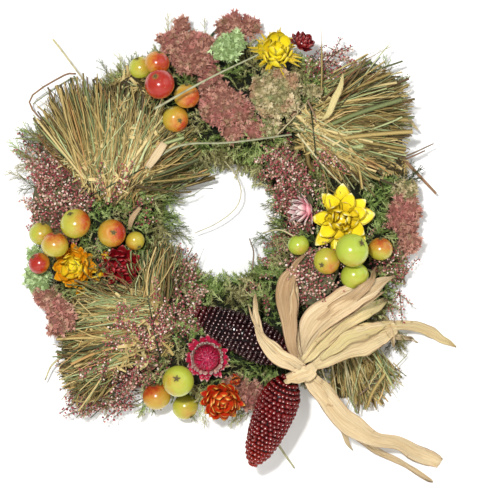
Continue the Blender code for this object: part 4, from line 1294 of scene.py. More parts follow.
# Each flower: kind, lean outwards, slot, finish, then its rings of bracts from the outermost in:
# count, foot radius, height, length, half width, opening, curl, rank
FLOWERS = (
    ("yellow_top", 24.0, "petal_yellow",
     petal_finish("yellow_bracts", tint(240, 206, 30), tint(252, 236, 44), tint(250, 216, 50),
                  tint(255, 246, 130)),
     ((18, 3, 0, 17, 1.2, 84, 10, 0.0), (12, 3, 1, 15, 1.4, 68, 18, 0.1), (8, 4.6, 0, 17, 5.2, 80, -118, 0.8),
      (7, 3.6, 1.5, 16, 4.8, 68, -112, 0.9), (5, 2.2, 3, 13, 4.2, 46, -94, 1.0))),
    ("crimson_top", 46.0, "petal_crimson",
     petal_finish("crimson_bracts", tint(120, 22, 28), tint(150, 30, 34), tint(206, 96, 90),
                  tint(150, 40, 44)),
     ((12, 3, 0, 8, 2.2, 88, -60, 0.0), (11, 3.4, 1.5, 8, 2.2, 76, -100, 0.4),
      (8, 3, 3, 7, 2.0, 56, -110, 0.7),
      (5, 1.6, 4, 5, 1.7, 30, -80, 1.0))),
    ("yellow_right", -4.0, "petal_yellow",
     petal_finish("open_yellow_bracts", tint(252, 236, 44), tint(248, 220, 40), tint(255, 246, 180),
                  tint(250, 212, 50), 0.86),
     ((8, 5, 0, 21, 6.2, 86, -10, 0.2), (7, 5, 1, 17, 5.6, 72, -26, 0.4), (8, 4.6, 1, 16, 5.0, 78, -118, 0.8),
      (6, 3.4, 2.5, 14, 4.6, 60, -108, 1.0), (4, 1.8, 4, 11, 3.8, 38, -84, 1.0))),
    ("pink_bud", -72.0, "petal_pink",
     petal_finish("pink_bracts", tint(222, 120, 140), tint(236, 150, 160), tint(250, 236, 228),
                  tint(246, 214, 210),
                  0.35),
     ((9, 2.5, 0, 11, 3.0, 62, -20, 0.0), (9, 2.5, 1, 13, 3.0, 44, -36, 0.4),
      (7, 2.0, 2, 13, 2.8, 28, -30, 0.8),
      (4, 1.0, 3, 12, 2.2, 12, -10, 1.0))),
    ("orange_left", 16.0, "petal_orange",
     petal_finish("orange_bracts", tint(248, 160, 20), tint(254, 236, 48), tint(252, 206, 46),
                  tint(250, 196, 36)),
     ((12, 6, 0, 12, 4.0, 92, -66, 0.0), (11, 6, 0.5, 13.5, 4.2, 86, -96, 0.05),
      (9, 5, 1.5, 14, 4.4, 76, -110, 0.15),
      (7, 3.8, 3, 12.5, 4.2, 62, -110, 0.9), (5, 2.2, 4.5, 10, 3.6, 42, -92, 1.0))),
    ("crimson_left", -10.0, "petal_crimson",
     petal_finish("dark_crimson_bracts", tint(128, 12, 20), tint(164, 20, 32), tint(206, 80, 84),
                  tint(152, 24, 34)),
     ((12, 5.4, 0, 11, 3.6, 90, -70, 0.0), (10, 5, 1, 12, 3.8, 80, -102, 0.3),
      (8, 4, 2.5, 11.5, 3.8, 66, -110, 0.6),
      (6, 2.8, 4, 10, 3.4, 48, -100, 0.9), (4, 1.4, 5, 7, 2.8, 28, -70, 1.0))),
    ("magenta", 4.0, "petal_magenta",
     petal_finish("magenta_bracts", tint(222, 42, 86), tint(226, 48, 92), tint(248, 218, 204),
                  tint(234, 104, 130),
                  0.78),
     ((20, 7, 0, 11, 2.5, 92, -44, 0.0), (20, 8, 1, 9.5, 2.3, 84, -74, 0.1))),
    ("flame", 20.0, "petal_orange",
     petal_finish("flame_bracts", tint(214, 44, 18), tint(226, 76, 30), tint(244, 190, 74),
                  tint(236, 160, 60)),
     ((12, 6, 0, 12, 4.0, 90, -68, 0.0), (11, 5.8, 0.5, 13, 4.2, 84, -98, 0.2),
      (9, 5, 1.5, 13, 4.2, 74, -110, 0.5),
      (7, 3.8, 3, 12, 4.0, 58, -108, 0.8), (5, 2.0, 4.5, 9, 3.2, 36, -84, 1.0))),
)
# Small side buds: flower kind, right, up, proud, size
BUDS = (("orange_left", -91, -38, 44, 0.42), ("orange_left", -99, -50, 42, 0.36),
        ("orange_left", -84, -24, 42, 0.3),
        ("flame", 11, -113, 44, 0.36), ("flame", 6, -124, 42, 0.3), ("crimson_top", 44, 118, 44, 0.5))
DISC = petal_finish("magenta_disc", tint(204, 22, 68), tint(226, 36, 92), tint(242, 116, 152),
                    tint(226, 52, 106))
COLLAR = petal_finish("magenta_collar", tint(244, 196, 184), tint(248, 216, 200), tint(255, 240, 226),
                      tint(226, 110, 136), 0.55)


def flower_place(node, lean):
    """Where a flower stands and how it leans, from its CAD node's box and its place on the ring."""
    low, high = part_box(node)
    middle = (low + high) / 2
    outwards = Vector((middle.x - CENTRE.x, 0.0, middle.z - CENTRE.z)).normalized()
    tilt = math.radians(lean)
    axis = -TO_DOOR * math.cos(tilt) + outwards * math.sin(tilt)
    foot = middle - axis * FLOWER_FOOT * MM
    turn = axis.to_track_quat("Z", "Y").to_matrix().to_4x4()
    return Matrix.Translation(foot) @ turn


def flower_bud(rings, place, size, k, draw):
    """A small half-open bud of the same kind, turned its own way."""
    turn = Euler((math.pi / 2 + 0.4 * math.sin(k), 0.0, 0.5 * math.cos(3 * k))).to_matrix().to_4x4()
    bud = Shape()
    for count, foot, height, length, half, opening, curl, rank in rings[1:5]:
        bracts(bud, count - 4, foot, height, length, half, opening - 16, curl, rank, draw)
    return bud.moved(Matrix.Translation(place) @ turn @ Matrix.Scale(size, 4))


def magenta_heart(node, place, draw):
    """The disc of fine florets in the open magenta flower, and the pale collar round it."""
    disc, collar = Shape(), Shape()
    for k, (foot, length, height) in enumerate(DISC_RINGS):
        bracts(disc, 34 - 8 * k, foot, height, length, 0.75, 8, -100, k / 2, draw, 0.2)
    disc.bead(ORIGIN, UP, in_metres(DISC_HEART), 20, rank=0.3, along=0.5)
    for height, turn in COLLAR_RINGS:
        bracts(collar, 24, 9.6, height, 6.2, 1.5, 58, -92, 0.5, draw, start=turn)
    return [disc.moved(place).object(node + ".disc", DISC),
            collar.moved(place).object(node + ".collar", COLLAR)]


def build_flowers():
    for kind, lean, slot, finish, rings in FLOWERS:
        node = "strawflower_" + kind
        draw = random.Random(kind)
        place = flower_place(node, lean)
        shape = Shape()
        for k, (count, foot, height, length, half, opening, curl, rank) in enumerate(rings):
            bracts(shape, count, foot, height, length, half, opening, curl, rank, draw, start=k * 0.3)
        shape.bead(ORIGIN, UP, in_metres(FLOWER_HEART), 14, rank=1.0, along=0.5)
        pieces = [shape.moved(place).object(node + ".bracts", finish)]
        for k, (own, right, up, proud, size) in enumerate(BUDS):
            if own == kind:
                bud = flower_bud(rings, at(right, up, proud), size, k, draw)
                pieces.append(bud.object(f"{node}.bud.{k}", finish))
        if kind == "magenta":
            pieces += magenta_heart(node, place, draw)
        settle(joined("flower_" + kind, pieces), "wreath", slot, node)


# Apples

APPLE_RINGS = 26
APPLE_SIDES = 36
APPLE_FLATTENED = 0.93
CALYX_SEAT = 0.82
STALK_SEAT = 0.66
FARTHEST_SEEN = 0.98
APPLES = {
    # calyx right and up in radii, ripeness, redness, red side right and up
    "upper_1": (-0.3, 0.8, 0.35, 0.15, 0.5, 0.3), "upper_2": (0.2, 0.9, 1.0, 0.62, 0.5, 0.2),
    "upper_3": (0.4, -0.2, 0.8, 0.45, 0.6, -0.7), "upper_4": (0.0, 0.92, 1.0, 0.5, 0.7, -0.4),
    "upper_5": (-0.3, 0.5, 1.0, 0.95, 0.1, 0.0), "left_1": (0.2, 0.9, 0.3, 0.25, 0.7, 0.2),
    "left_2": (-0.6, 0.6, 0.9, 0.85, -0.4, 0.1), "left_3": (0.5, -0.7, 0.75, 0.12, -0.6, -0.7),
    "left_4": (0.1, 0.95, 0.6, 0.5, 0.1, 0.95), "left_5": (0.22, 0.02, 0.85, 0.62, 0.9, 0.2),
    "left_6": (-0.35, 0.7, 0.4, 0.45, 0.9, 0.2), "lower_1": (-0.2, 0.9, 0.9, 0.55, -0.3, 0.9),
    "lower_2": (0.5, -0.8, 0.4, 0.1, 0.5, -0.5), "lower_3": (-0.08, 0.22, 0.22, 0.15, -0.7, -0.3),
    "right_1": (0.0, 0.95, 0.05, 0.0, 0.5, -0.5), "right_2": (0.3, -0.85, 0.12, 0.0, 0.4, -0.6),
    "right_3": (-0.45, -0.3, 0.45, 0.3, 0.6, -0.5), "right_4": (0.0, 0.95, 0.55, 0.5, 0.2, 0.9),
    "right_5": (0.6, 0.45, 0.08, 0.05, 0.0, -1.0),
}


def facing_front(right, up):
    """A unit direction seen that far right and up of a ball's middle, on its near side."""
    length = min(math.hypot(right, up), FARTHEST_SEEN)
    turn = math.atan2(up, right)
    return Vector((length * math.cos(turn), -math.sqrt(1.0 - length * length), length * math.sin(turn)))


def apple_reach(theta, phi, ripe):
    """How far the skin is from the middle: a dimple at each pole, five soft ribs, and a lean of its own."""
    calyx_dimple = 0.1 * math.exp(-(theta / 0.3) ** 2)
    stalk_dimple = 0.26 * math.exp(-((math.pi - theta) / 0.3) ** 2)
    ribs = 1.0 + 0.012 * math.cos(5 * phi) * math.exp(-(theta / 0.9) ** 2)
    return (1.0 - calyx_dimple - stalk_dimple) * ribs * (1.0 + 0.02 * math.cos(phi + ripe * 9.0))


def apple_skin(shape, middle, radius, turn, ripe, red, red_side):
    """The fruit from its calyx pole down, with marks for its blush and for the angle from the pole."""
    points, blush, pole = [], [], []
    for ring in range(APPLE_RINGS + 1):
        theta = math.pi * ring / APPLE_RINGS
        for side in range(APPLE_SIDES if 0 < ring < APPLE_RINGS else 1):
            phi = math.tau * side / APPLE_SIDES
            reach = apple_reach(theta, phi, ripe)
            world = turn @ spun(math.sin(theta) * reach, phi, math.cos(theta) * reach * APPLE_FLATTENED)
            points.append(middle + world * radius)
            blush.append(world.normalized().dot(red_side))
            pole.append(theta)
    faces = []
    last = len(points) - 1
    for side in range(APPLE_SIDES):
        after = (side + 1) % APPLE_SIDES
        faces.append((0, 1 + side, 1 + after))
        for ring in range(APPLE_RINGS - 2):
            low = 1 + ring * APPLE_SIDES
            faces.append((low + after, low + side, low + APPLE_SIDES + side, low + APPLE_SIDES + after))
        faces.append((last - APPLE_SIDES + after, last - APPLE_SIDES + side, last))
    shape.add(points, faces, blush=blush, ripe=ripe, red=red, pole=pole)


def apple_ends(shape, middle, radius, turn, calyx, name):
    """The dry calyx in one dimple and the stalk in the other."""
    ahead = turn @ UP
    seat = middle + turn @ Vector((0, 0, CALYX_SEAT)) * radius
    for k in range(5):
        span = random.Random(name + str(k)).uniform(0.6, 1.3)
        out = turn @ spun(1.0, math.tau * k / 5 + 0.2)
        route = [seat + (out * (0.03 + 0.2 * t * span) + ahead * (0.03 + 0.1 * math.sin(2.6 * t))) * radius
                 for t in (0.0, 0.3, 0.6, 0.85, 1.0)]
        halves = [between(0.07, 0.015, t) * radius for t in (0.0, 0.2, 0.45, 0.75, 1.0)]
        shape.leaf(route, [ahead] * 5, halves, 0.15 * MM, 0.2, 2, part=1.0)
    shape.bead(seat, ahead, [(0, -0.5 * MM), (0.09 * radius, 0), (0.06 * radius, 0.6 * MM), (0, 0.5 * MM)], 8,
               part=1.0)
    foot = middle - turn @ Vector((0, 0, STALK_SEAT)) * radius
    stalk = [foot, foot - ahead * 0.3 * radius,
             foot - ahead * 0.55 * radius + calyx.orthogonal() * 0.05 * radius]
    shape.rod(stalk, [0.5 * MM, 0.4 * MM, 0.5 * MM], 6, part=1.0)


def build_apple(name):
    """A crab apple, as wide as its CAD node, with its calyx and its red side turned as given."""
    calyx_right, calyx_up, ripe, red, side_right, side_up = APPLES[name]
    low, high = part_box("apple_" + name)
    radius = (high.x - low.x) / 2
    middle = (low + high) / 2
    calyx = facing_front(calyx_right, calyx_up)
    turn = calyx.to_track_quat("Z", "Y")
    shape = Shape()
    apple_skin(shape, middle, radius, turn, ripe, red,
               facing_front(side_right * FARTHEST_SEEN, side_up * FARTHEST_SEEN))
    apple_ends(shape, middle, radius, turn, calyx, name)
    slot = "apple_red" if name.startswith(("upper", "left")) else "apple_green"
    settle(shape.object("fruit_" + name, APPLE), "wreath", slot, "apple_" + name)


# Corn

JOINTS = {joint["name"]: joint for joint in frame["joints"]}
PIVOT = Vector(JOINTS["red_ear_sway"]["pos_m"])
EAR_LENGTH = 71.0
EARS = (
    # kind, body, heading, tilt to the door, butt right and up from the pivot, finish
    ("dark", "dark_ear", 154.0, 0.0, -14.5, 10.5,
     corn_finish("dark_kernels", tint(16, 4, 6), tint(38, 10, 14), tint(96, 20, 20), tint(52, 18, 20))),
    ("red", "red_ear", 248.0, 14.0, -13.0, -4.0,
     corn_finish("red_kernels", tint(58, 4, 6), tint(102, 8, 10), tint(140, 34, 14), tint(124, 20, 18))),
)


KERNEL_PITCH = 3.25
KERNEL_WIDTH = 3.35
KERNEL_SUNK = 2.2
LARGEST_KERNEL = 1.08
KERNELS_ROUND = ((10.5, 26), (7.6, 20), (4.6, 13))
FEWEST_KERNELS = 8
WAIST = 6.0
STALK_POINTS = 9
STALK_SIDES = 14


def ear_line(node, heading, tilt, right, up):
    """The butt of an ear, as deep as the CAD ear lies at its waist, and the way the ear runs."""
    turn, down = math.radians(heading), math.radians(tilt)
    axis = Vector((math.cos(turn) * math.cos(down), math.sin(down), math.sin(turn) * math.cos(down)))
    butt = PIVOT + Vector((right, 0.0, up)) * MM
    half_way = butt + axis * EAR_LENGTH / 2 * MM
    level = axis.cross(TO_DOOR).cross(TO_DOOR).normalized()
    waist = [corner.co.y for corner in frame["nodes"][node].data.vertices
             if abs((corner.co - half_way).dot(level)) < WAIST * MM]
    butt.y += sum(waist) / len(waist) - half_way.y
    return butt, axis


def ear_ending(kind, share):
    """How near a kernel is to an end: both ends of the dark ear count, and only the tip of the red one."""
    if kind == "dark":
        return max(0.0, (abs(share - 0.5) * 2 - 0.6) / 0.4) ** 1.5
    return max(0.0, (share - 0.62) / 0.38)


def ear_kernels(kind, skin, butt, axis):
    """Rings of kernels that follow the ear's skin, and the ending mark of each."""
    draw = random.Random(kind)
    side, other = across(axis)
    spots, endings = Spots(), []
    rings = int(EAR_LENGTH / KERNEL_PITCH)
    for ring in range(rings + 1):
        share = (ring + 0.4) / (rings + 0.8)
        middle = butt + axis * EAR_LENGTH * share * MM
        reach = skin.reach(middle, side)
        count = next((count for least, count in KERNELS_ROUND if reach > least * MM), FEWEST_KERNELS)
        for k in range(count):
            angle = math.tau * (k + 0.5 * (ring % 2)) / count + 0.02 * ring + draw.gauss(0, 0.025)
            out = side * math.cos(angle) + other * math.sin(angle)
            depth = skin.reach(middle, out)
            size = min(LARGEST_KERNEL, math.tau * depth / count / (KERNEL_WIDTH * MM)) * draw.uniform(0.93,
                                                                                                      1.05)
            lean = (out + axis * max(0.0, (share - 0.85) / 0.15) * 0.8
                    - axis * max(0.0, 0.12 - share) * 3.0).normalized()
            place = middle + out * (depth - KERNEL_SUNK * MM) + axis * draw.gauss(0, 0.25) * MM
            spots.add(place, lean, draw.uniform(0, math.tau), size, draw.random())
            endings.append(ear_ending(kind, share))
    return spots, endings


def ear_stalk(butt, axis):
    """The stiff stalk from the tied shank into the butt of an ear."""
    bend = [PIVOT, between(PIVOT, butt, 0.5) + TO_DOOR * 1.0 * MM, butt + axis * 3.0 * MM]
    shape = Shape()
    shape.rod(smooth_route(bend, STALK_POINTS), [between(3.0, 4.6, t) * MM for t in shares(STALK_POINTS)],
              STALK_SIDES, shade=0.3, across=[math.sin(k) for k in range(STALK_SIDES)] * STALK_POINTS,
              reach=[k * 0.2 for k in range(STALK_POINTS) for _ in range(STALK_SIDES)])
    return shape


def build_corn():
    kernel = corn_kernel()
    for kind, body, heading, tilt, right, up, finish in EARS:
        node = "corn_ear_" + kind
        butt, axis = ear_line(node, heading, tilt, right, up)
        spots, endings = ear_kernels(kind, Ground([node]), butt, axis)
        kernels = spots.object(node + ".kernels", kernel, finish)
        spread = kernels.data.attributes.new("ending", "FLOAT", "POINT")
        per = len(kernel.data.vertices)
        spread.data.foreach_set("value", [value for value in endings for _ in range(per)])
        core = Shape()
        # The core has no cap mark, so it takes the kernels' painted shade.
        core.add(*worked(node, 0, lambda place: -1.6 * MM), tone=0.0)
        piece = joined("kernels_" + kind, [kernels, core.object(node + ".core", finish)])
        settle(piece, body, "corn_" + kind, node)
        settle(ear_stalk(butt, axis).object("ear_stalk_" + kind, HUSK), body, "husk")
    removed(kernel)


# Husks

STRIPS = {
    # each strip's lift over what lies below, shade and cup, then right, up, half width at its points
    "husk_streamer": (
        (0.0, 0.25, 0.3, ((60, -106, 3.5), (68, -117, 6.5), (80, -131, 7.5), (92, -145, 8.0),
            (110, -156, 6.0), (128, -161, 5.0), (142, -168, 6.5), (154, -175, 6.0), (161, -178, 4.2))),
        (1.2, 0.5, 0.45, ((62, -105, 2.0), (74, -118, 3.2), (90, -140, 3.6), (104, -152, 2.6),
            (116, -160, 0.5))),
        (-0.6, 0.15, 0.35, ((92, -146, 4.0), (102, -158, 3.0), (118, -170, 2.3), (136, -179, 2.0),
            (150, -188, 1.9), (156, -192, 0.5))),
    ),
    "husk_broad_lower": (
        (0.0, 0.55, 0.22, ((63, -102, 3.0), (78, -94, 8.0), (98, -86, 11.0), (112, -81, 9.0),
            (122, -78, 6.0), (127, -77, 3.0))),
        (1.0, 0.75, 0.3, ((70, -97, 1.5), (84, -87, 4.5), (100, -79, 5.5), (114, -75, 3.0),
            (122, -73, 0.6))),
        (-0.5, 0.6, 0.35, ((107, -82, 3.0), (120, -76, 3.6), (137, -75, 3.8), (152, -80, 4.0),
            (164, -87, 2.8), (173, -92, 0.5))),
        (-1.5, 0.35, 0.4, ((116, -82, 1.0), (127, -83, 2.2), (137, -85, 1.9), (145, -89, 0.4))),
        (2.2, 0.2, 0.4, ((112, -60, 2.2), (117, -70, 3.2), (122, -81, 2.2), (125, -91, 0.8))),
    ),
    "husk_broad_upper": (
        (0.0, 0.1, 0.28, ((55, -96, 3.0), (61, -80, 8.0), (75, -66, 10.5), (92, -55, 9.5), (106, -49, 6.0),
            (115, -43, 3.0), (124, -39, 0.5))),
        (0.8, 0.05, 0.3, ((66, -74, 3.0), (82, -61, 4.5), (98, -50, 4.0), (106, -42, 2.2),
            (110, -33, 0.4))),
        (1.6, 0.68, 0.34, ((57, -98, 2.5), (69, -87, 5.5), (86, -73, 6.5), (101, -65, 5.5), (114, -59, 3.0),
            (120, -56, 0.6))),
        (2.4, 0.3, 0.4, ((56, -98, 1.5), (66, -84, 3.0), (84, -68, 3.6), (104, -57, 2.2), (116, -50, 0.5))),
    ),
    "husk_upright": (
        (0.0, 0.02, 0.45, ((55, -98, 2.5), (49, -87, 3.6), (47, -72, 6.0), (45, -56, 8.0), (48, -43, 6.2),
            (52, -32, 2.2), (57, -26, 1.4), (64, -21, 0.4))),
        (1.2, 0.12, 0.5, ((57, -99, 1.2), (53, -86, 2.4), (51, -70, 3.0), (52, -54, 3.2), (53, -42, 0.5))),
    ),
    "husk_curl": (
        (0.0, 0.35, 0.4, ((60, -106, 3.5), (50, -99, 5.5), (38, -92, 6.0), (28, -80, 3.4), (25, -66, 2.4),
            (24, -58, 1.6), (24, -51, 0.4))),
        (3.2, 0.45, 0.5, ((66, -102, 3.0), (60, -107, 6.0), (53, -110, 5.5), (47, -112, 3.0),
            (44, -112, 0.6))),
        (1.0, 0.2, 0.45, ((56, -103, 1.5), (44, -94, 3.0), (33, -84, 2.0), (24, -71, 1.2), (19, -59, 0.3))),
    ),
}
OVER_EAR = ("husk_curl", "husk_upright")
HUSK_STATIONS = 56
HUSK_COLUMNS = 14
HUSK_THICK = 0.35
HUSK_FALL = 1.7
HUSK_SMOOTHINGS = 6
EDGE_SHARE = 0.7
TORN_FROM = 0.86
TORN_SHARE = 0.14
LIFT_STEP = 3


def swept_height(ground, ear, right, up):
    """Millimetres off the door, also while the dark ear is lifted under the place."""
    joint = JOINTS["dark_ear_lift"]
    pivot, axis = Vector(joint["pos_m"]), Vector(joint["axis"])
    heights = [ground.proud(right, up, 0.0)]
    for degrees in range(0, round(joint["range_deg"][1]) + 1, LIFT_STEP):
        turn = Matrix.Rotation(-math.radians(degrees), 3, axis)
        place = pivot + turn @ (at(right, up) - pivot)
        heights.append(ear.proud((place.x - CENTRE.x) / MM, (place.z - CENTRE.z) / MM, 0.0))
    return max(heights)


def husk_heights(flat, over_ear, ground, ear):
    """How far off the door a strip lies: it falls no faster than it can bend, and is then smoothed."""
    heights = []
    for point in flat:
        edge = EDGE_SHARE * point.z
        heights.append(max(swept_height(ground, ear, point.x + side, point.y) for side in (-edge, 0.0, edge))
                       if over_ear else ground.proud(point.x, point.y, 0.0))
    for k in range(1, HUSK_STATIONS):
        heights[k] = max(heights[k], heights[k - 1] - HUSK_FALL)
    for _ in range(HUSK_SMOOTHINGS):
        heights = eased(heights, 2)
    return heights


def husk_edges(route, flat, index, roll):
    """Half widths, which are ragged and torn towards the tip, and the ways the rolling strip faces."""
    halves, faces_to = [], []
    for k, (point, share) in enumerate(zip(flat, shares(HUSK_STATIONS))):
        torn = abs(noise.noise(Vector((share * 70.0, index, 3.0))))
        ragged = 1.0 + 0.14 * noise.noise(Vector((share * 9.0, index * 3.7, 0.0)))
        ragged -= 0.5 * max(0.0, share - TORN_FROM) / TORN_SHARE * torn
        halves.append(max(point.z * ragged, 0.25) * MM)
        side = TO_DOOR.cross(way_at(route, k)).normalized()
        lean = roll * math.sin(math.pi * share)
        lean += 0.35 * noise.noise(Vector((share * 4.0, index * 5.3, 2.0)))
        faces_to.append(-TO_DOOR * math.cos(lean) + side * math.sin(lean))
    return halves, faces_to


def husk_ripple(index):
    """The lift of one strip's folds, creases and ribs, from its share along and its place across."""
    def ripple(share, t):
        fold = noise.noise(Vector((share * 3.0, t * 1.6, index * 7.1))) * 1.4
        crease = abs(noise.noise(Vector((share * 1.6, t * 2.6, index * 4.3)))) * 5.0
        rib = math.sin(t * 24.0 + 3.0 * noise.noise(Vector((share * 4.0, t, index)))) * 0.11
        return (fold + crease + rib) * MM * min(1.0, share * 6.0)
    return ripple


def husk_strip(shape, index, lift, shade, cup, flat, heights):
    """One strip along its smoothed heights, with a little sway to its sides."""
    route = [at(point.x, point.y, height + lift) for point, height in zip(flat, heights)]
    length = sum((b - a).length for a, b in zip(route, route[1:]))
    for k, point in enumerate(flat):
        sway = 0.3 * point.z * noise.noise(Vector((k / 9.0, index * 2.9, 5.0)))
        route[k] = route[k] + TO_DOOR.cross(way_at(route, k)).normalized() * sway * MM
    halves, faces_to = husk_edges(route, flat, index, random.Random(index).uniform(-0.3, 0.3))
    reach = [length / MM / 10.0 * k / (HUSK_STATIONS - 1)
             for k in range(HUSK_STATIONS) for _ in range(2 * HUSK_COLUMNS)]
    shape.leaf(route, faces_to, halves, HUSK_THICK * MM, cup, HUSK_COLUMNS, husk_ripple(index), 1.2,
               shade=shade, reach=reach)


def build_husks():
    """Husk strips: the first of each name stands for the CAD husk, and the rest lie beside or over it."""
    ground = Ground([name for name in frame["nodes"] if not name.startswith("sheaf")])
    ear = Ground(["corn_ear_dark"])
    index = 0
    for name, strips in STRIPS.items():
        shape = Shape()
        for lift, shade, cup, rows in strips:
            flat = smooth_route([Vector(row) for row in rows], HUSK_STATIONS)
            heights = husk_heights(flat, name in OVER_EAR, ground, ear)
            husk_strip(shape, index, lift, shade, cup, flat, heights)
            index += 1
        settle(shape.object(name.replace("husk", "husk_leaf"), HUSK), "wreath", "husk", name)


# Stray stems and leaves

STRAYS = (
    # half width, kind, then right, up, proud at its points
    (0.94, 0.35, ((-123, 133, 22), (-113, 120, 26), (-98, 100, 34))),
    (1.27, 0.75, ((-106, 107, 30), (-115, 106, 26), (-140, 90, 20), (-131, 74, 18), (-118, 68, 24))),
    (0.94, 0.05, ((-104, 104, 30), (-113, 102, 26), (-138, 86, 20))),
    (0.94, 0.70, ((-126, 94, 22), (-120, 78, 28), (-116, 68, 30))),
    (1.61, 0.08, ((-46, 78, 74), (-10, 98, 76), (26, 117, 62))),
    (1.44, 0.05, ((-54, 38, 52), (-38, 50, 54), (-22, 55, 54), (6, 56, 50), (50, 62, 46))),
    (0.68, 0.30, ((2, 44, 26), (10, 34, 24), (14, 22, 22), (10, 10, 20), (-4, -1, 18), (-20, -8, 14))),
    (1.10, 0.65, ((118, 44, 24), (134, 48, 24), (154, 57, 22))),
    (0.94, 0.70, ((118, 42, 22), (134, 46, 22), (148, 52, 20))),
    (1.70, 0.75, ((120, 56, 24), (134, 44, 20), (157, 21, 12))),
    (1.53, 0.72, ((128, -18, 20), (132, -30, 14), (134, -46, 8))),
    (1.36, 0.15, ((34, -150, 20), (43, -166, 12), (53, -181, 6))),
    (1.02, 0.66, ((100, -126, 18), (114, -116, 16), (131, -107, 10))),
    (1.02, 0.10, ((102, -118, 16), (120, -112, 12), (136, -98, 8))),
    (1.70, 1.00, ((-67, -88, 52), (-53, -82, 50), (-40, -79, 46))),
    (1.02, 0.72, ((61, 86, 54), (67, 72, 54), (63, 62, 50), (53, 49, 44))),
    (0.77, 0.40, ((40, 62, 50), (52, 74, 52), (62, 86, 50))),
    (0.68, 0.65, ((22, -34, 28), (23, -22, 26), (20, -12, 22))),
    (0.68, 0.30, ((54, -12, 44), (42, -6, 40), (30, -8, 34))),
    (0.77, 0.60, ((98, -142, 10), (106, -150, 8), (110, -158, 6))),
    (0.85, 0.35, ((-112, -96, 20), (-124, -104, 16), (-130, -116, 12))),
    (0.77, 0.30, ((-118, 70, 24), (-128, 62, 18), (-134, 58, 14))),
    (1.10, 0.33, ((76, -90, 34), (81, -110, 26), (85, -134, 12))),
    (1.00, 0.40, ((84, -88, 34), (92, -112, 24), (98, -140, 8))),
    (0.80, 0.30, ((92, -88, 32), (104, -112, 20), (116, -134, 8))),
    (0.80, 0.36, ((70, -96, 36), (76, -116, 26), (92, -142, 8))),
    (0.60, 0.33, ((98, -90, 30), (116, -108, 18), (134, -121, 6))),
    (1.00, 0.35, ((88, -92, 34), (90, -108, 28), (94, -128, 14))),
    (0.90, 0.12, ((56, 66, 54), (84, 42, 54), (104, 22, 44))),
    (1.00, 0.30, ((54, 62, 54), (72, 40, 52), (88, 24, 44))),
    (0.90, 0.36, ((60, 68, 54), (86, 52, 56), (112, 36, 44))),
)
LEAVES = (
    # shade, then right, up, proud, half width at its points
    (0.15, ((-52, 38, 56, 2.2), (-46, 46, 58, 3.2), (-40, 55, 58, 2.6))),
    (0.95, ((86, 104, 60, 0.6), (84, 94, 60, 2.2), (80, 86, 60, 2.6), (76, 76, 60, 2.2), (71, 71, 58, 0.5))),
    (0.60, ((130, 80, 24, 0.8), (136, 74, 22, 2.0), (143, 67, 20, 0.4))),
    (0.30, ((86, -143, 20, 1.0), (89, -152, 16, 2.4), (92, -162, 10, 1.6), (96, -168, 6, 0.3))),
    (0.90, ((-56, -92, 52, 1.0), (-54, -100, 50, 2.6), (-58, -106, 48, 0.6))),
    (0.90, ((-62, -66, 56, 1.4), (-54, -68, 56, 2.8), (-44, -76, 52, 0.6))),
    (0.05, ((-66, -6, 40, 1.0), (-64, 2, 44, 2.2), (-58, 10, 46, 1.2))),
)


STRAY_POINTS = 14
LEAF_POINTS = 12


def build_strays():
    """Single stems and dry leaves that lie over everything."""
    lines = Lines()
    draw = random.Random(8)
    for half, kind, rows in STRAYS:
        route = smooth_route([at(*row) for row in rows], STRAY_POINTS)
        widths = [half * MM * between(1.0, 0.6, t) for t in shares(STRAY_POINTS)]
        lines.add(route, widths, draw.uniform(0, math.pi), 0.5, kind)
    settle(lines.object("stray_stems", TWIG, sides=6, flatness=0.6), "wreath", "hay")
    shape = Shape()
    for shade, rows in LEAVES:
        route = smooth_route([at(*row[:3]) for row in rows], LEAF_POINTS)
        halves = [max(along_points([row[3] for row in rows], t), 0.2) * MM for t in shares(LEAF_POINTS)]
        shape.leaf(route, [-TO_DOOR] * LEAF_POINTS, halves, 0.25 * MM, 0.3, 6, shade=shade, reach=0.5)
    settle(shape.object("stray_leaves", HUSK), "wreath", "husk")


# Straw showing at the back

BACK_STRAWS = 340
BACK_STRAW_POINTS = 9
BACK_STRAW_SPREAD = 22.0


def build_back_straw():
    """Single straws laid round the ring, half sunk in its back and inner side."""
    draw = random.Random(77)
    lines = Lines()
    for _ in range(BACK_STRAWS):
        start = draw.uniform(0, math.tau)
        span = draw.uniform(0.25, 0.7)
        radius = RING_RADIUS + draw.uniform(-BACK_STRAW_SPREAD, BACK_STRAW_SPREAD)
        drift = draw.gauss(0, 3.0)
        route = []
        for k in range(BACK_STRAW_POINTS):
            turn = start + span * k / (BACK_STRAW_POINTS - 1)
            reach = radius + drift * (k / (BACK_STRAW_POINTS - 1) - 0.5)
            proud = STRAW_OFF_DOOR - 0.2 + draw.gauss(0, 0.25)
            route.append(at(reach * math.sin(turn), reach * math.cos(turn), proud))
        half = draw.uniform(0.5, 1.1) * MM
        lines.add(route, [half] * BACK_STRAW_POINTS, draw.uniform(0, math.pi), draw.uniform(0.3, 1.0),
                  draw.random() * 0.7)
    settle(lines.object("back_straws", HAY, sides=5, flatness=0.7), "wreath", "straw")


def finish_cad_nodes():
    """Materials of the CAD nodes that stay in sight."""
    finishes = dict.fromkeys(nodes_like("binding_wire", "loop_staple", "hanging_loop", "sheaf_tie"),
                             wire_finish())
    finishes.update({"straw_base": straw_finish(), "corn_shank": HUSK})
    for name, finish in finishes.items():
        frame["nodes"][name].data.materials.clear()
        frame["nodes"][name].data.materials.append(finish)


# Stage

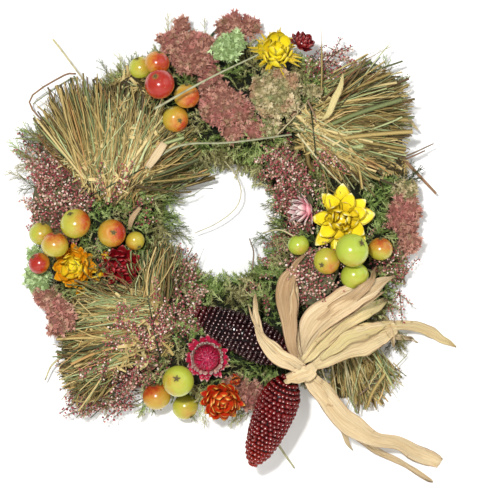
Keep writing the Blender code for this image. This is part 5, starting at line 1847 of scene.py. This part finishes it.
CAMERA_OFF_DOOR = 1235.0
CAMERA_LENS = 120.0
SENSOR = 36.0
VIEW_RIGHT = 20.4
VIEW_UP = -20.4
ROOM_LIGHT = 0.42
LIGHTS = (
    # name, right, up and off the door in millimetres, size in metres, watts
    ("key", (-150.0, 170.0, 1300.0), 0.09, 14.5),
    ("fill", (900.0, 500.0, 900.0), 1.2, 4.0),
)
ROOM = 1.6
FLOOR_BELOW = 0.5
WALL_BEHIND = 0.0005


def build_camera(scene):
    camera = linked("camera", bpy.data.cameras.new("camera"))
    camera.data.lens = CAMERA_LENS
    camera.data.sensor_width = SENSOR
    camera.location = at(VIEW_RIGHT, VIEW_UP, CAMERA_OFF_DOOR)
    camera.rotation_euler = Euler((math.pi / 2, 0.0, 0.0))
    scene.camera = camera


def build_lights(scene):
    """A small key light from the upper left, a broad fill, and even light from the room."""
    for name, place, size, power in LIGHTS:
        light = linked(name, bpy.data.lights.new(name, "AREA"))
        light.data.shape = "DISK"
        light.data.size = size
        light.data.energy = power
        light.location = at(*place)
        light.rotation_euler = (at(VIEW_RIGHT, VIEW_UP) - light.location).to_track_quat("-Z", "Y").to_euler()
    world = bpy.data.worlds.new("studio")
    world.use_nodes = True
    background = world.node_tree.nodes["Background"].inputs
    background["Color"].default_value = (1.0, 1.0, 1.0, 1.0)
    background["Strength"].default_value = ROOM_LIGHT
    scene.world = world
    scene.view_settings.view_transform = "Standard"


def wall_finish():
    """White paint, clear from behind."""
    f = Finish("wall_paint")
    f.skin(tint(250, 250, 250), 0.9, height=f.grain(60.0), depth=0.02)
    clear = f.node("ShaderNodeBsdfTransparent")
    back = f.node("ShaderNodeNewGeometry").output("Backfacing")
    shown = f.node("ShaderNodeMixShader", {0: back, 1: Field(f, f.shader.outputs[0]), 2: clear})
    f.tree.links.new(shown.socket, f.tree.nodes["Material Output"].inputs["Surface"])
    return f.material


def floor_finish():
    f = Finish("floor_paint")
    return f.skin(tint(240, 238, 234), 0.8, height=f.grain(60.0), depth=0.02)


def build_room():
    """The wall the wreath hangs on and the floor in front of it."""
    door, low = DOOR + WALL_BEHIND, CENTRE.z - FLOOR_BELOW
    wall = [(x, door, z) for x, z in ((-ROOM, low), (ROOM, low), (ROOM, ROOM), (-ROOM, ROOM))]
    floor = [(x, y, low) for x, y in ((-ROOM, -ROOM), (ROOM, -ROOM), (ROOM, ROOM), (-ROOM, ROOM))]
    for name, corners, finish in (("wall", wall, wall_finish()), ("floor", floor, floor_finish())):
        shape = Shape()
        shape.add([Vector(corner) for corner in corners], [(0, 1, 2, 3)])
        shape.object(name, finish, smooth=False)


def build_stage():
    build_camera(bpy.context.scene)
    build_lights(bpy.context.scene)
    build_room()


build_stage()
build_moss()
build_sprigs()
build_hay()
build_heather()
build_sedum()
build_flowers()
for fruit in APPLES:
    build_apple(fruit)
build_corn()
build_husks()
build_strays()
build_back_straw()
finish_cad_nodes()
